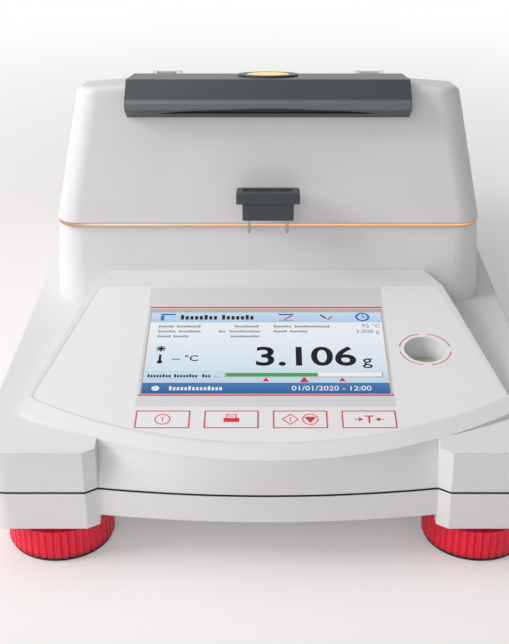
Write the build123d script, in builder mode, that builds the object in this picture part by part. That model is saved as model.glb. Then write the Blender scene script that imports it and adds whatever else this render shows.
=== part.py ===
from build123d import *
from math import cos, radians, sin
import os

os.makedirs("parts", exist_ok=True)

# Moisture analyser: a balance under a halogen heater in a hinged lid.
# +Z up, the front faces -Y, the origin is on the table under the middle of the case.
# All sizes are in millimetres.

# Case, seen from above
CASE_FRONT_Y = -169.0
CASE_REAR_Y = 169.0
FRONT_HALF_W = 104.0
REAR_HALF_W = 97.0
SIDE_BREAK_Y = -118.0
CASE_CORNER_R = 9.0
FRONT_BOW_R = 387.0
WALL = 2.8

# Foot housings at the front corners
HOUSING_INNER_X = 62.2
HOUSING_EDGE_X = 66.5
HOUSING_FRONT_Y = -167.0
HOUSING_REAR_Y = -121.0
HOUSING_BOTTOM_Z = 15.5

# Case, seen from the side
LOWER_Z = 19.7
SEAM_Z = 31.2
SEAM_GAP = 0.7
TONGUE_H = 3.0
DECK_FRONT_Z = 48.0
DECK_REAR_Z = 61.0

# Raised control panel
PANEL_TILT = 9.7
PANEL_REAR_Y = -51.0
PANEL_REAR_Z = 67.6
PANEL_BOW_R = 170.0
PANEL_FOOT_Z = 44.6
PANEL_REAR_HALF_W = 66.0
PANEL_CORNER_X = 75.0
PANEL_CORNER_Y = -61.0
PANEL_FRONT_HALF_W = 93.0
LIP_LENGTH = 6.4
LIP_DROP = 1.2

# Display, overlay and keys, measured along the panel from its rear edge
SCREEN_W = 95.04
SCREEN_H = 53.86
SCREEN_TOP = 29.7
SCREEN_X = -0.8
SCREEN_MARGIN = 1.2
GLASS_MARGIN = 4.0
GLASS_T = 1.1
LCD_T = 5.2
OVERLAY_T = 0.5
OVERLAY_TOP = 10.9
OVERLAY_EDGE = 3.4
KEY_W = 20.2
KEY_H = 10.0
KEY_PITCH = 25.5
KEY_DROP = 9.9
KEY_GAP = 0.12
KEY_TRAVEL = 0.4
KEY_STEM_R = 1.8
KEY_FLANGE = 1.0
BOARD_T = 1.6
SWITCH_H = 2.2

# Spirit level beside the display
LEVEL_X = 62.6
LEVEL_ALONG = 55.5
LEVEL_R = 8.35
LEVEL_DEPTH = 7.7
LEVEL_VIAL_H = 5.0
LEVEL_VIAL_EDGE = 0.8
LEVEL_CUP_WALL = 1.4

# Heating chamber
BOX_FRONT_Y = -50.5
BOX_REAR_Y = 166.0
BOX_HALF_W = 94.4
BOX_FOOT_Z = 46.0
BOX_TOP_Z = 88.3
BOX_DRAFT = 4.0
BOX_CORNER_R = 14.0
CHAMBER_Y = 20.0
CHAMBER_R = 63.0
LEDGE_W = 3.0
LEDGE_DROP = 2.4
COLLAR_H = 6.0
TRAY_T = 1.0
TRAY_FLOOR_Z = 64.0
SHIELD_T = 1.2
SHIELD_GAP = 1.5

# Weighing parts
PAN_R = 45.0
PAN_T = 0.8
PAN_FLOOR_Z = 83.0
PAN_RIM_W = 1.8
WIRE_R = 0.6
WIRE_SIDES = 6
WIRE_Z = 89.2
WIRE_X = 8.0
WIRE_CLEAR = 0.1
STEM_R = 4.0
STEM_HOLE_R = 7.0
ARM_W = 7.0
ARM_T = 3.0
CELL_W = 24.0
CELL_H = 20.0
CELL_Z = 38.0
CELL_FRONT_Y = 8.0
CELL_REAR_Y = 108.0

# Pan handler grip
GRIP_Y = -62.0
GRIP_CAP_W = 26.5
GRIP_CAP_TOP_W = 20.6
GRIP_CAP_D = 9.0
GRIP_CAP_Z = 103.5
GRIP_TOP_Z = 107.9
GRIP_NECK_W = 21.4
GRIP_NECK_D = 5.0
GRIP_NECK_Z = 95.9

# Lid
LID_Z = 90.1
LID_FRONT_Y = -50.0
LID_REAR_Y = 148.0
LID_HALF_W = 91.3
LID_TOP_HALF_W = 79.6
LID_CROWN_Z = 150.2
LID_SHOULDER_DROP = 3.6
LID_SHOULDER_Z = LID_CROWN_Z - LID_SHOULDER_DROP
LID_REAR_TOP_HALF_W = 88.0
LID_REAR_CROWN_Z = 102.5
LID_REAR_DROP = 2.4
LID_FRONT_LEAN = 9.0
LID_REAR_LEAN = 11.0
LID_BREAK_Y = -8.0
LID_PANEL_SLOPE = 0.185
LID_WALL = 3.0
LID_CORNER_R = 10.0
LID_REAR_CORNER_R = 4.0
LID_EDGE_R = 3.0

# Lid handle
HANDLE_HALF_W = 58.8
HANDLE_TOP_REAR_Y = 14.0
HANDLE_T = 2.2
HANDLE_CHAMFER = 1.5
HANDLE_GRIP_Y = -52.0
HANDLE_BROW_DROP = 6.4
HANDLE_GRIP_TOP_DROP = 7.3
HANDLE_GRIP_DROP = 9.6
HANDLE_FOOT_DROP = 15.4
HANDLE_BROW_Z = LID_CROWN_Z - HANDLE_BROW_DROP
HANDLE_GRIP_TOP_Z = LID_CROWN_Z - HANDLE_GRIP_TOP_DROP
HANDLE_GRIP_Z = LID_CROWN_Z - HANDLE_GRIP_DROP
HANDLE_FOOT_Z = LID_CROWN_Z - HANDLE_FOOT_DROP
SCOOP_HALF_W = 46.0
SCOOP_RISE = 3.0
SCOOP_D = 6.0
SCOOP_BITE = 0.4
WINDOW_R = 10.75
WINDOW_Y = -21.5
WINDOW_T = 2.1
RIM_W = 2.2
RIM_H = 0.9

# Heater in the lid
LINER_Z = 96.0
LINER_T = 1.2
HEATER_R = 54.0
GLASS_DISC_T = 2.0
RETAINER_T = 1.5
RETAINER_W = 7.0
REFLECTOR_T = 0.9
REFLECTOR_TOP_Z = 115.0
LAMP_RING_R = 36.0
LAMP_R = 4.5
LAMP_SIDES = 8
LAMP_Z = 106.0
LAMP_GAP_DEG = 32.0
LAMP_CLEAR = 0.5
LAMP_PINCH_R = 2.4
SOCKET_W = 12.0
SOCKET_H = 11.0
PROBE_DROP = 6.0
PROBE_R = 1.5
BOSS_R = 5.0
LID_BOSS_X = 72.0
LID_BOSS_YS = (-28.0, 104.0)
SCREW_R = 1.5
SCREW_HEAD_R = 3.0
SCREW_HEAD_H = 1.8

# Lid hinge
PIVOT_Y = 156.0
PIVOT_Z = 97.0
KNUCKLE_R = 6.0
PIN_R = 2.0
PIN_CLEAR = 0.05
ARM_KNUCKLE_W = 10.0
EAR_T = 3.0
EAR_CLEAR = 0.3
HINGE_X = 58.0
EAR_FOOT_T = 2.0

# Buffers between the box and the lid
BUFFER_R = 1.4
BUFFER_YS = (6.0, 118.0)
BUFFER_CLEAR = 0.1

# Levelling feet and rear feet
WHEEL_X = 79.8
WHEEL_Y = -146.4
WHEEL_R = 20.2
WHEEL_Z = 1.6
WHEEL_TOP_Z = 13.3
WHEEL_FLUTES = 44
FLUTE_R = 0.9
PAD_R = 19.4
STUD_R = 4.0
STUD_TOP_Z = 42.0
STUD_CLEAR = 0.08
NUT_BOSS_R = 8.0
NUT_BOSS_TOP_Z = 40.0
PAD_PIN_R = 3.0
PAD_PIN_H = 4.0
REAR_FOOT_R = 11.0
REAR_FOOT_X = 78.0
REAR_FOOT_Y = 146.0

# Screws that hold the case together, and the slots in its floor
CASE_SCREW_INSET = 13.5
CASE_SCREW_X = FRONT_HALF_W - CASE_SCREW_INSET
CASE_SCREW_YS = (-90.0, 120.0)
CASE_BOSS_R = 4.5
CASE_SCREW_L = 24.0
CASE_JOIN_Z = 34.5
VENT_COUNT = 7
VENT_PITCH = 8.0
VENT_W = 3.0
VENT_L = 46.0
VENT_Y = 60.0
VENT_COLUMNS_APART = 128.0
TONGUE_T = 1.5
TONGUE_CLEAR = 0.15
REAR_BOSS_Z = 5.0
REAR_BOSS_R = 14.0
REAR_FOOT_SEAT = 1.5

# Boards and sockets
FLOOR_T = 2.6
POST_R = 3.5
MAIN_BOARD_W = 112.0
MAIN_BOARD_D = 74.0
MAIN_BOARD_CHIPS = (
    (-20.0, 8.0, 24.0, 24.0, 1.8),
    (14.0, 12.0, 16.0, 12.0, 1.8),
    (-38.0, -20.0, 14.0, 8.0, 6.0),
    (34.0, -14.0, 10.0, 26.0, 7.0),
    (38.0, 18.0, 12.0, 12.0, 5.0),
    (4.0, -22.0, 30.0, 6.0, 5.0),
)
SUPPLY_CHIPS = (
    (-22.0, -4.0, 26.0, 22.0, 5.0),
    (12.0, -6.0, 18.0, 18.0, 6.0),
    (32.0, 4.0, 10.0, 20.0, 4.0),
)
MAIN_BOARD_Y = -100.0
MAIN_BOARD_Z = 27.0
SUPPLY_W = 84.0
SUPPLY_D = 38.0
SUPPLY_X = -42.0
SUPPLY_Y = 138.0
REAR_PLATE_HALF_W = 80.0
REAR_PLATE_Z = (36.5, 55.5)
REAR_PLATE_T = 2.0
REAR_PLATE_LAP = 2.5
INLET_X = -52.0
INLET_W = 27.0
INLET_H = 19.0
INLET_DEPTH = 20.0
INLET_MOUTH_W = 24.5
INLET_MOUTH_H = 16.6
INLET_MOUTH_DEPTH = 15.0
SOCKET_Z = 46.0
FUSE_W = 17.0
FUSE_H = 13.0
FUSE_DEPTH = 24.0
FUSE_X = -24.0
FUSE_CLEAR = 0.15
SERIAL_X = 12.0
USB_B_X = 40.0
USB_A_X = 60.0
SERIAL_W = 25.0
SERIAL_H = 11.0
SERIAL_DEPTH = 12.0
SERIAL_MOUTH_W = 19.0
SERIAL_MOUTH_H = 8.6
SERIAL_MOUTH_DEPTH = 5.0
SERIAL_CORNER_R = 2.0
USB_B_W = 12.0
USB_B_H = 11.0
USB_A_W = 14.5
USB_A_H = 7.5
USB_DEPTH = 14.0
USB_MOUTH_DEPTH = 9.0

# Worked out from the sizes above
tilt = radians(PANEL_TILT)
floor_top_z = LOWER_Z + FLOOR_T
upper_z = SEAM_Z + SEAM_GAP / 2
lower_top_z = SEAM_Z - SEAM_GAP / 2
front_wall_y = CASE_FRONT_Y + FRONT_BOW_R - (FRONT_BOW_R**2 - HOUSING_INNER_X**2) ** 0.5
deck_plane = Plane(
    origin=(0, CASE_FRONT_Y, DECK_FRONT_Z),
    x_dir=(1, 0, 0),
    z_dir=(0, DECK_FRONT_Z - DECK_REAR_Z, CASE_REAR_Y - CASE_FRONT_Y),
)
panel_plane = Plane(
    origin=(0, PANEL_REAR_Y, PANEL_REAR_Z),
    x_dir=(1, 0, 0),
    z_dir=(0, -sin(tilt), cos(tilt)),
)
screen_mid = -SCREEN_TOP - SCREEN_H / 2
key_mid = -SCREEN_TOP - SCREEN_H - KEY_DROP - KEY_H / 2
key_xs = [SCREEN_X + KEY_PITCH * (i - 1.5) for i in range(4)]
level_y = PANEL_REAR_Y - LEVEL_ALONG * cos(tilt)
level_rim_z = PANEL_REAR_Z - LEVEL_ALONG * sin(tilt)
level_floor_z = level_rim_z - LEVEL_DEPTH
lid_brow_y = LID_FRONT_Y + LID_FRONT_LEAN
lid_break_z = LID_CROWN_Z - LID_PANEL_SLOPE * (LID_BREAK_Y - lid_brow_y)
lid_front_plane = Plane(
    origin=(0, LID_FRONT_Y, LID_Z),
    x_dir=(1, 0, 0),
    z_dir=(0, LID_CROWN_Z - LID_Z, -LID_FRONT_LEAN),
)
lid_rear_plane = Plane(
    origin=(0, LID_REAR_Y, LID_Z),
    x_dir=(1, 0, 0),
    z_dir=(0, LID_REAR_CROWN_Z - LID_Z, LID_REAR_LEAN),
)


def save(builder, name):
    """Label a finished piece and write it."""
    builder.part.label = name
    export_step(builder.part, f"parts/{name}.step")


def panel_sketch_plane(depth=0.0):
    """A plane parallel to the panel's face, depth below it."""
    return panel_plane.offset(-depth)


def case_outline(inset=0.0):
    """The case from above: bowed front, foot housings, sides that draw in to the rear."""
    with BuildSketch() as plan:
        with BuildLine():
            bow = ThreePointArc(
                (-HOUSING_INNER_X, front_wall_y), (0, CASE_FRONT_Y), (HOUSING_INNER_X, front_wall_y)
            )
            Polyline(
                bow @ 1,
                (HOUSING_EDGE_X, HOUSING_FRONT_Y),
                (FRONT_HALF_W, HOUSING_FRONT_Y),
                (FRONT_HALF_W, SIDE_BREAK_Y),
                (REAR_HALF_W, CASE_REAR_Y),
                (-REAR_HALF_W, CASE_REAR_Y),
                (-FRONT_HALF_W, SIDE_BREAK_Y),
                (-FRONT_HALF_W, HOUSING_FRONT_Y),
                (-HOUSING_EDGE_X, HOUSING_FRONT_Y),
                bow @ 0,
            )
        make_face()
        corners = plan.vertices().filter_by(
            lambda v: abs(v.X) > REAR_HALF_W - 1 and abs(v.Y - SIDE_BREAK_Y) > 1
        )
        fillet(corners, CASE_CORNER_R)
        if inset:
            offset(amount=-inset, kind=Kind.INTERSECTION)
    return plan.sketch


def housing_outline(side, inset=0.0):
    """The foot housing at the left (-1) or right (1) front corner, from above."""
    with BuildSketch() as plan:
        with BuildLine():
            Polyline(
                (side * HOUSING_INNER_X, HOUSING_REAR_Y),
                (side * HOUSING_INNER_X, front_wall_y),
                (side * HOUSING_EDGE_X, HOUSING_FRONT_Y),
                (side * FRONT_HALF_W, HOUSING_FRONT_Y),
                (side * FRONT_HALF_W, HOUSING_REAR_Y),
                close=True,
            )
        make_face()
        outward = Axis((0, 0, 0), (side, 0, 0))
        fillet(plan.vertices().sort_by(Axis.Y)[:3].sort_by(outward)[-1:], CASE_CORNER_R)
        if inset:
            offset(amount=-inset, kind=Kind.INTERSECTION)
    return plan.sketch


def deck_form(inset=0.0):
    """The upper case's lower storey, up to its sloping deck, without the bowed front."""
    with BuildPart() as form:
        with BuildSketch(Plane.XY.offset(upper_z)):
            add(case_outline(inset))
            with Locations((0, CASE_FRONT_Y)):
                Rectangle(
                    2 * (HOUSING_INNER_X + inset), 2 * PANEL_BOW_R / 8, mode=Mode.SUBTRACT
                )
        extrude(amount=DECK_REAR_Z)
        split(bisect_by=deck_plane.offset(-inset), keep=Keep.BOTTOM)
    return form.part


def front_form(inset=0.0):
    """The bowed front wall, which draws back from the seam to the lip of the panel."""
    back_y = CASE_FRONT_Y + PANEL_BOW_R / 4
    half = HOUSING_INNER_X + inset
    with BuildPart() as form:
        for z, bow_r in ((upper_z, FRONT_BOW_R), (PANEL_FOOT_Z, PANEL_BOW_R)):
            with BuildSketch(Plane.XY.offset(z)):
                with BuildLine():
                    side_y = CASE_FRONT_Y + bow_r - (bow_r**2 - half**2) ** 0.5 + inset
                    bow = ThreePointArc(
                        (-half, side_y), (0, CASE_FRONT_Y + inset), (half, side_y)
                    )
                    Polyline(bow @ 1, (half, back_y), (-half, back_y), bow @ 0)
                make_face()
        loft()
    return form.part


def panel_form(inset=0.0):
    """The raised block that carries the display, cut to the panel's slope."""
    front_half = PANEL_FRONT_HALF_W - inset
    front_side_y = CASE_FRONT_Y + PANEL_BOW_R - (PANEL_BOW_R**2 - front_half**2) ** 0.5 + inset
    with BuildPart() as form:
        with BuildSketch(Plane.XY.offset(PANEL_FOOT_Z)):
            with BuildLine():
                bow = ThreePointArc(
                    (-front_half, front_side_y),
                    (0, CASE_FRONT_Y + inset),
                    (front_half, front_side_y),
                )
                Polyline(
                    bow @ 1,
                    (PANEL_CORNER_X - inset, PANEL_CORNER_Y),
                    (PANEL_REAR_HALF_W - inset, PANEL_REAR_Y + 2 * WALL),
                    (-PANEL_REAR_HALF_W + inset, PANEL_REAR_Y + 2 * WALL),
                    (-PANEL_CORNER_X + inset, PANEL_CORNER_Y),
                    bow @ 0,
                )
            make_face()
        extrude(amount=PANEL_REAR_Z)
        split(bisect_by=panel_plane.offset(-inset), keep=Keep.BOTTOM)
        if not inset:
            top = form.faces().filter_by(lambda face: face.normal_at().Z > 0.9)[0]
            front_edge = top.edges().sort_by(Axis.Y)[:1]
            chamfer(front_edge, length=LIP_LENGTH, length2=LIP_DROP, reference=top)
    return form.part


def box_form(inset=0.0):
    """The heating chamber's box, with a little draft and rounded corners."""
    with BuildPart() as form:
        with BuildSketch(Plane.XY.offset(BOX_FOOT_Z)):
            with Locations((0, (BOX_FRONT_Y + BOX_REAR_Y) / 2)):
                RectangleRounded(
                    2 * (BOX_HALF_W - inset),
                    BOX_REAR_Y - BOX_FRONT_Y - 2 * inset,
                    BOX_CORNER_R - inset,
                )
        extrude(amount=BOX_TOP_Z - BOX_FOOT_Z - inset, taper=BOX_DRAFT)
    return form.part


def lid_section(half_w, shoulder_half_w, shoulder_z, crown_z, inset):
    """One upright section of the lid: drafted sides under a crowned top."""
    with BuildSketch() as section:
        with BuildLine():
            crown = ThreePointArc(
                (-shoulder_half_w + inset, shoulder_z - inset),
                (0, crown_z - inset),
                (shoulder_half_w - inset, shoulder_z - inset),
            )
            Polyline(crown @ 1, (half_w - inset, LID_Z), (-half_w + inset, LID_Z), crown @ 0)
        make_face()
    return section.sketch


def lid_form(inset=0.0):
    """The lid's outer form: crowned, falling to the rear, more steeply behind the handle."""
    front_z = LID_CROWN_Z + LID_PANEL_SLOPE * LID_FRONT_LEAN
    front_drop = LID_CROWN_Z - LID_SHOULDER_Z
    rear_slope = (lid_break_z - LID_REAR_CROWN_Z) / (LID_REAR_Y - LID_REAR_LEAN - LID_BREAK_Y)
    rear_z = LID_REAR_CROWN_Z - rear_slope * LID_REAR_LEAN
    rear_shoulder = rear_z - LID_REAR_DROP
    share = (LID_BREAK_Y - LID_FRONT_Y) / (LID_REAR_Y - LID_FRONT_Y)
    mid_half_w = LID_TOP_HALF_W + share * (LID_REAR_TOP_HALF_W - LID_TOP_HALF_W)
    with BuildPart() as form:
        stations = (
            (LID_FRONT_Y, LID_TOP_HALF_W, front_z - front_drop, front_z),
            (LID_BREAK_Y, mid_half_w, lid_break_z - front_drop, lid_break_z),
            (LID_REAR_Y, LID_REAR_TOP_HALF_W, rear_shoulder, rear_z),
        )
        for near, far in zip(stations, stations[1:]):
            for y, shoulder_half_w, shoulder_z, crown_z in (near, far):
                with BuildSketch(Plane.XZ.offset(-y)):
                    add(lid_section(LID_HALF_W, shoulder_half_w, shoulder_z, crown_z, inset))
            loft(ruled=True)
        split(bisect_by=lid_front_plane.offset(inset), keep=Keep.TOP)
        split(bisect_by=lid_rear_plane.offset(-inset), keep=Keep.BOTTOM)
        if not inset:
            for y, radius in ((LID_FRONT_Y, LID_CORNER_R), (LID_REAR_Y, LID_REAR_CORNER_R)):
                corners = form.edges().filter_by(
                    lambda e: abs((e @ 1).Z - (e @ 0).Z) > LID_EDGE_R
                    and abs(e.center().Y - y) < LID_CORNER_R
                )
                fillet(corners, radius)
            shoulders = form.edges().filter_by(
                lambda e: abs(e.center().X) > LID_TOP_HALF_W / 2
                and min((e @ 0).Z, (e @ 1).Z) > LID_Z + LID_EDGE_R
                and abs((e @ 1).Y - (e @ 0).Y) > 2 * LID_CORNER_R
            )
            fillet(shoulders, LID_EDGE_R)
    return form.part


def overlay_outline():
    """The control overlay in the panel's own plane, a border inside the raised block."""
    edge = OVERLAY_EDGE
    along = (PANEL_REAR_Y - PANEL_CORNER_Y) / cos(tilt)
    front_half = PANEL_FRONT_HALF_W - edge
    front_mid = (CASE_FRONT_Y - PANEL_REAR_Y + LIP_LENGTH) / cos(tilt) + edge / 2
    front_side = front_mid + (PANEL_BOW_R - (PANEL_BOW_R**2 - front_half**2) ** 0.5) / cos(tilt)
    with BuildSketch() as plan:
        with BuildLine():
            bow = ThreePointArc((-front_half, front_side), (0, front_mid), (front_half, front_side))
            Polyline(
                bow @ 1,
                (PANEL_CORNER_X - edge, -max(along, OVERLAY_TOP)),
                (-PANEL_CORNER_X + edge, -max(along, OVERLAY_TOP)),
                bow @ 0,
            )
        make_face()
        fillet(plan.vertices(), OVERLAY_EDGE)
    return plan.sketch


def key_outlines(grow):
    """The four keys in the panel's plane, each side grown by the given amount."""
    with BuildSketch() as plan:
        with Locations(*[(x, key_mid) for x in key_xs]):
            RectangleRounded(KEY_W + 2 * grow, KEY_H + 2 * grow, 0.6 + grow)
    return plan.sketch


def screen_outline(margin, radius):
    """A rounded rectangle round the screen in the panel's plane."""
    with BuildSketch() as plan:
        with Locations((SCREEN_X, screen_mid)):
            RectangleRounded(SCREEN_W + 2 * margin, SCREEN_H + 2 * margin, radius)
    return plan.sketch


case_screw_points = [(side * CASE_SCREW_X, y) for side in (-1, 1) for y in CASE_SCREW_YS]

# Bosses for the case screws, up to the underside of the deck
with BuildPart() as case_bosses:
    with BuildSketch(Plane.XY.offset(CASE_JOIN_Z)):
        with Locations(*case_screw_points):
            Circle(CASE_BOSS_R)
    extrude(amount=DECK_REAR_Z)
    add(deck_form(WALL / 2), mode=Mode.INTERSECT)
    with BuildSketch(Plane.XY.offset(CASE_JOIN_Z)):
        with Locations(*case_screw_points):
            Circle(SCREW_R)
    extrude(amount=CASE_SCREW_L / 2, mode=Mode.SUBTRACT)

# Upper case: deck, bowed front, raised panel and chamber box in one moulding
case_forms = (deck_form, front_form, panel_form, box_form)
with BuildPart() as upper_case:
    for form in case_forms:
        add(form())
    for form in case_forms:
        add(form(WALL), mode=Mode.SUBTRACT)
    with BuildSketch(Plane.XY.offset(BOX_TOP_Z - COLLAR_H)):
        with Locations((0, CHAMBER_Y)):
            Circle(CHAMBER_R + WALL)
    extrude(amount=COLLAR_H - WALL / 2)
    with BuildSketch(Plane.XY.offset(BOX_TOP_Z)):
        with Locations((0, CHAMBER_Y)):
            Circle(CHAMBER_R)
    extrude(amount=-LEDGE_DROP, mode=Mode.SUBTRACT)
    with BuildSketch(Plane.XY.offset(BOX_TOP_Z)):
        with Locations((0, CHAMBER_Y)):
            Circle(CHAMBER_R - LEDGE_W)
    extrude(amount=-2 * COLLAR_H, mode=Mode.SUBTRACT)
    with BuildSketch(Plane.XY.offset(level_floor_z - LEVEL_VIAL_H - LEVEL_CUP_WALL)):
        with Locations((LEVEL_X, level_y)):
            Circle(LEVEL_R + LEVEL_CUP_WALL)
    extrude(until=Until.NEXT)
    with BuildSketch(Plane.XY.offset(level_floor_z - LEVEL_VIAL_H)):
        with Locations((LEVEL_X, level_y)):
            Circle(LEVEL_R)
    extrude(amount=PANEL_REAR_Z - level_floor_z, mode=Mode.SUBTRACT)
    with BuildSketch(panel_sketch_plane()):
        add(overlay_outline())
    extrude(amount=-OVERLAY_T, mode=Mode.SUBTRACT)
    with BuildSketch(panel_sketch_plane(OVERLAY_T)):
        add(screen_outline(GLASS_MARGIN, 2.0))
    extrude(amount=-GLASS_T, mode=Mode.SUBTRACT)
    with BuildSketch(panel_sketch_plane()):
        add(screen_outline(SCREEN_MARGIN, 1.0))
        add(key_outlines(KEY_GAP))
    extrude(amount=-2 * WALL, mode=Mode.SUBTRACT)
    with BuildSketch(Plane.XZ.offset(-CASE_REAR_Y)):
        with Locations((0, sum(REAR_PLATE_Z) / 2)):
            Rectangle(2 * REAR_PLATE_HALF_W, REAR_PLATE_Z[1] - REAR_PLATE_Z[0])
    extrude(amount=2 * WALL, mode=Mode.SUBTRACT)
    add(case_bosses.part)
save(upper_case, "upper_case")

# Lower case: a tray with housings for the levelling feet and a tongue inside the seam
with BuildPart() as lower_case:
    with BuildSketch(Plane.XY.offset(LOWER_Z)):
        add(case_outline())
    extrude(amount=lower_top_z - LOWER_Z)
    for side in (-1, 1):
        with BuildSketch(Plane.XY.offset(HOUSING_BOTTOM_Z)):
            add(housing_outline(side))
        extrude(amount=floor_top_z - HOUSING_BOTTOM_Z)
    with BuildSketch(Plane.XY.offset(floor_top_z)):
        add(case_outline(WALL + TONGUE_CLEAR + TONGUE_T))
    extrude(amount=lower_top_z, mode=Mode.SUBTRACT)
    with BuildSketch(Plane.XY.offset(lower_top_z)):
        add(case_outline(WALL + TONGUE_CLEAR))
        add(case_outline(WALL + TONGUE_CLEAR + TONGUE_T), mode=Mode.SUBTRACT)
        with Locations((0, CASE_FRONT_Y)):
            Rectangle(2 * HOUSING_EDGE_X + 4 * WALL, PANEL_BOW_R / 4, mode=Mode.SUBTRACT)
    extrude(amount=TONGUE_H)
    with BuildSketch(Plane.XY.offset(HOUSING_BOTTOM_Z)):
        with Locations(*[(s * WHEEL_X, WHEEL_Y) for s in (-1, 1)]):
            Circle(NUT_BOSS_R)
    extrude(amount=NUT_BOSS_TOP_Z - HOUSING_BOTTOM_Z)
    with BuildSketch(Plane.XY.offset(REAR_BOSS_Z)):
        with Locations(*[(s * REAR_FOOT_X, REAR_FOOT_Y) for s in (-1, 1)]):
            Circle(REAR_BOSS_R)
    extrude(amount=floor_top_z - REAR_BOSS_Z)
    with BuildSketch(Plane.XY.offset(floor_top_z)):
        with Locations(*case_screw_points):
            Circle(CASE_BOSS_R)
    extrude(amount=CASE_JOIN_Z - floor_top_z)
    with BuildSketch(Plane.XY.offset(floor_top_z)):
        with Locations((0, MAIN_BOARD_Y)):
            with GridLocations(MAIN_BOARD_W - 4 * POST_R, MAIN_BOARD_D - 4 * POST_R, 2, 2):
                Circle(POST_R)
        with Locations((SUPPLY_X, SUPPLY_Y)):
            with GridLocations(SUPPLY_W - 3 * POST_R, SUPPLY_D - 3 * POST_R, 2, 2):
                Circle(POST_R)
    extrude(amount=MAIN_BOARD_Z - floor_top_z)
    with Locations(*[(s * WHEEL_X, WHEEL_Y, HOUSING_BOTTOM_Z) for s in (-1, 1)]):
        Cylinder(
            STUD_R + STUD_CLEAR,
            2 * NUT_BOSS_TOP_Z,
            align=(Align.CENTER, Align.CENTER, Align.CENTER),
            mode=Mode.SUBTRACT,
        )
    with BuildSketch(Plane.XY.offset(REAR_BOSS_Z)):
        with Locations(*[(s * REAR_FOOT_X, REAR_FOOT_Y) for s in (-1, 1)]):
            Circle(REAR_FOOT_R)
    extrude(amount=REAR_FOOT_SEAT, mode=Mode.SUBTRACT)
    with BuildSketch(Plane.XY.offset(LOWER_Z)):
        with Locations(*case_screw_points):
            Circle(SCREW_R)
        with Locations((0, VENT_Y)):
            with GridLocations(VENT_COLUMNS_APART, VENT_PITCH, 2, VENT_COUNT):
                SlotOverall(VENT_L, VENT_W)
    extrude(amount=CASE_JOIN_Z, mode=Mode.SUBTRACT)
    with BuildSketch(Plane.XY.offset(LOWER_Z)):
        with Locations(*case_screw_points):
            Circle(SCREW_HEAD_R)
    extrude(amount=SCREW_HEAD_H, mode=Mode.SUBTRACT)
save(lower_case, "lower_case")

# Screws from below, through the tray into the upper case's bosses
with BuildPart() as case_screws:
    for x, y in case_screw_points:
        with BuildSketch(Plane.XY.offset(LOWER_Z)):
            with Locations((x, y)):
                Circle(SCREW_HEAD_R)
        extrude(amount=SCREW_HEAD_H)
        with BuildSketch(Plane.XY.offset(LOWER_Z + SCREW_HEAD_H)):
            with Locations((x, y)):
                Circle(SCREW_R)
        extrude(amount=CASE_SCREW_L - SCREW_HEAD_H)
save(case_screws, "case_screws")

# Control overlay with windows for the display, the keys and the spirit level
with BuildPart() as control_overlay:
    with BuildSketch(panel_sketch_plane(OVERLAY_T)):
        add(overlay_outline())
        add(screen_outline(0, 0.4), mode=Mode.SUBTRACT)
        add(key_outlines(KEY_GAP), mode=Mode.SUBTRACT)
    extrude(amount=OVERLAY_T)
    with BuildSketch(Plane.XY):
        with Locations((LEVEL_X, level_y)):
            Circle(LEVEL_R)
    extrude(amount=PANEL_REAR_Z, mode=Mode.SUBTRACT)
save(control_overlay, "control_overlay")

# Touch glass under the overlay
with BuildPart() as touch_glass:
    with BuildSketch(panel_sketch_plane(OVERLAY_T)):
        add(screen_outline(GLASS_MARGIN - KEY_GAP, 2.0))
    extrude(amount=-GLASS_T)
save(touch_glass, "touch_glass")

# Display module: its lit face comes up through the case to the glass
with BuildPart() as lcd_module:
    with BuildSketch(panel_sketch_plane(OVERLAY_T + GLASS_T)):
        add(screen_outline(SCREEN_MARGIN / 2, 0.6))
    extrude(amount=OVERLAY_T + GLASS_T - WALL)
    with BuildSketch(panel_sketch_plane(WALL)):
        add(screen_outline(GLASS_MARGIN, 1.0))
    extrude(amount=-LCD_T)
save(lcd_module, "lcd_module")

# Keys: cap, flange under the case and a stem down to the switch
key_names = ("key_power", "key_print", "key_start_stop", "key_tare")
flange_depth = WALL + KEY_GAP
stem_depth = flange_depth + KEY_FLANGE + KEY_TRAVEL
for name, x in zip(key_names, key_xs):
    with BuildPart() as key:
        with BuildSketch(panel_sketch_plane()):
            with Locations((x, key_mid)):
                RectangleRounded(KEY_W, KEY_H, 0.6)
        extrude(amount=-flange_depth)
        with BuildSketch(panel_sketch_plane(flange_depth)):
            with Locations((x, key_mid)):
                Rectangle(KEY_W + 2 * KEY_FLANGE, KEY_H + 2 * KEY_FLANGE)
        extrude(amount=-KEY_FLANGE)
        with BuildSketch(panel_sketch_plane(flange_depth + KEY_FLANGE)):
            with Locations((x, key_mid)):
                Circle(KEY_STEM_R)
        extrude(amount=-KEY_TRAVEL)
    save(key, name)

# Keypad board with one switch under each key
switch_depth = stem_depth + KEY_TRAVEL + KEY_GAP
with BuildPart() as keypad_board:
    with BuildSketch(panel_sketch_plane(switch_depth + SWITCH_H)):
        with Locations((SCREEN_X, key_mid)):
            RectangleRounded(4 * KEY_PITCH, KEY_H + 6 * KEY_FLANGE, 1.0)
    extrude(amount=-BOARD_T)
    with BuildSketch(panel_sketch_plane(switch_depth + SWITCH_H)):
        with Locations(*[(x, key_mid) for x in key_xs]):
            Rectangle(3.4 * KEY_STEM_R, 3.4 * KEY_STEM_R)
    extrude(amount=SWITCH_H / 2)
    with BuildSketch(panel_sketch_plane(switch_depth + SWITCH_H / 2)):
        with Locations(*[(x, key_mid) for x in key_xs]):
            Circle(KEY_STEM_R)
    extrude(amount=SWITCH_H / 2)
save(keypad_board, "keypad_board")

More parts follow.
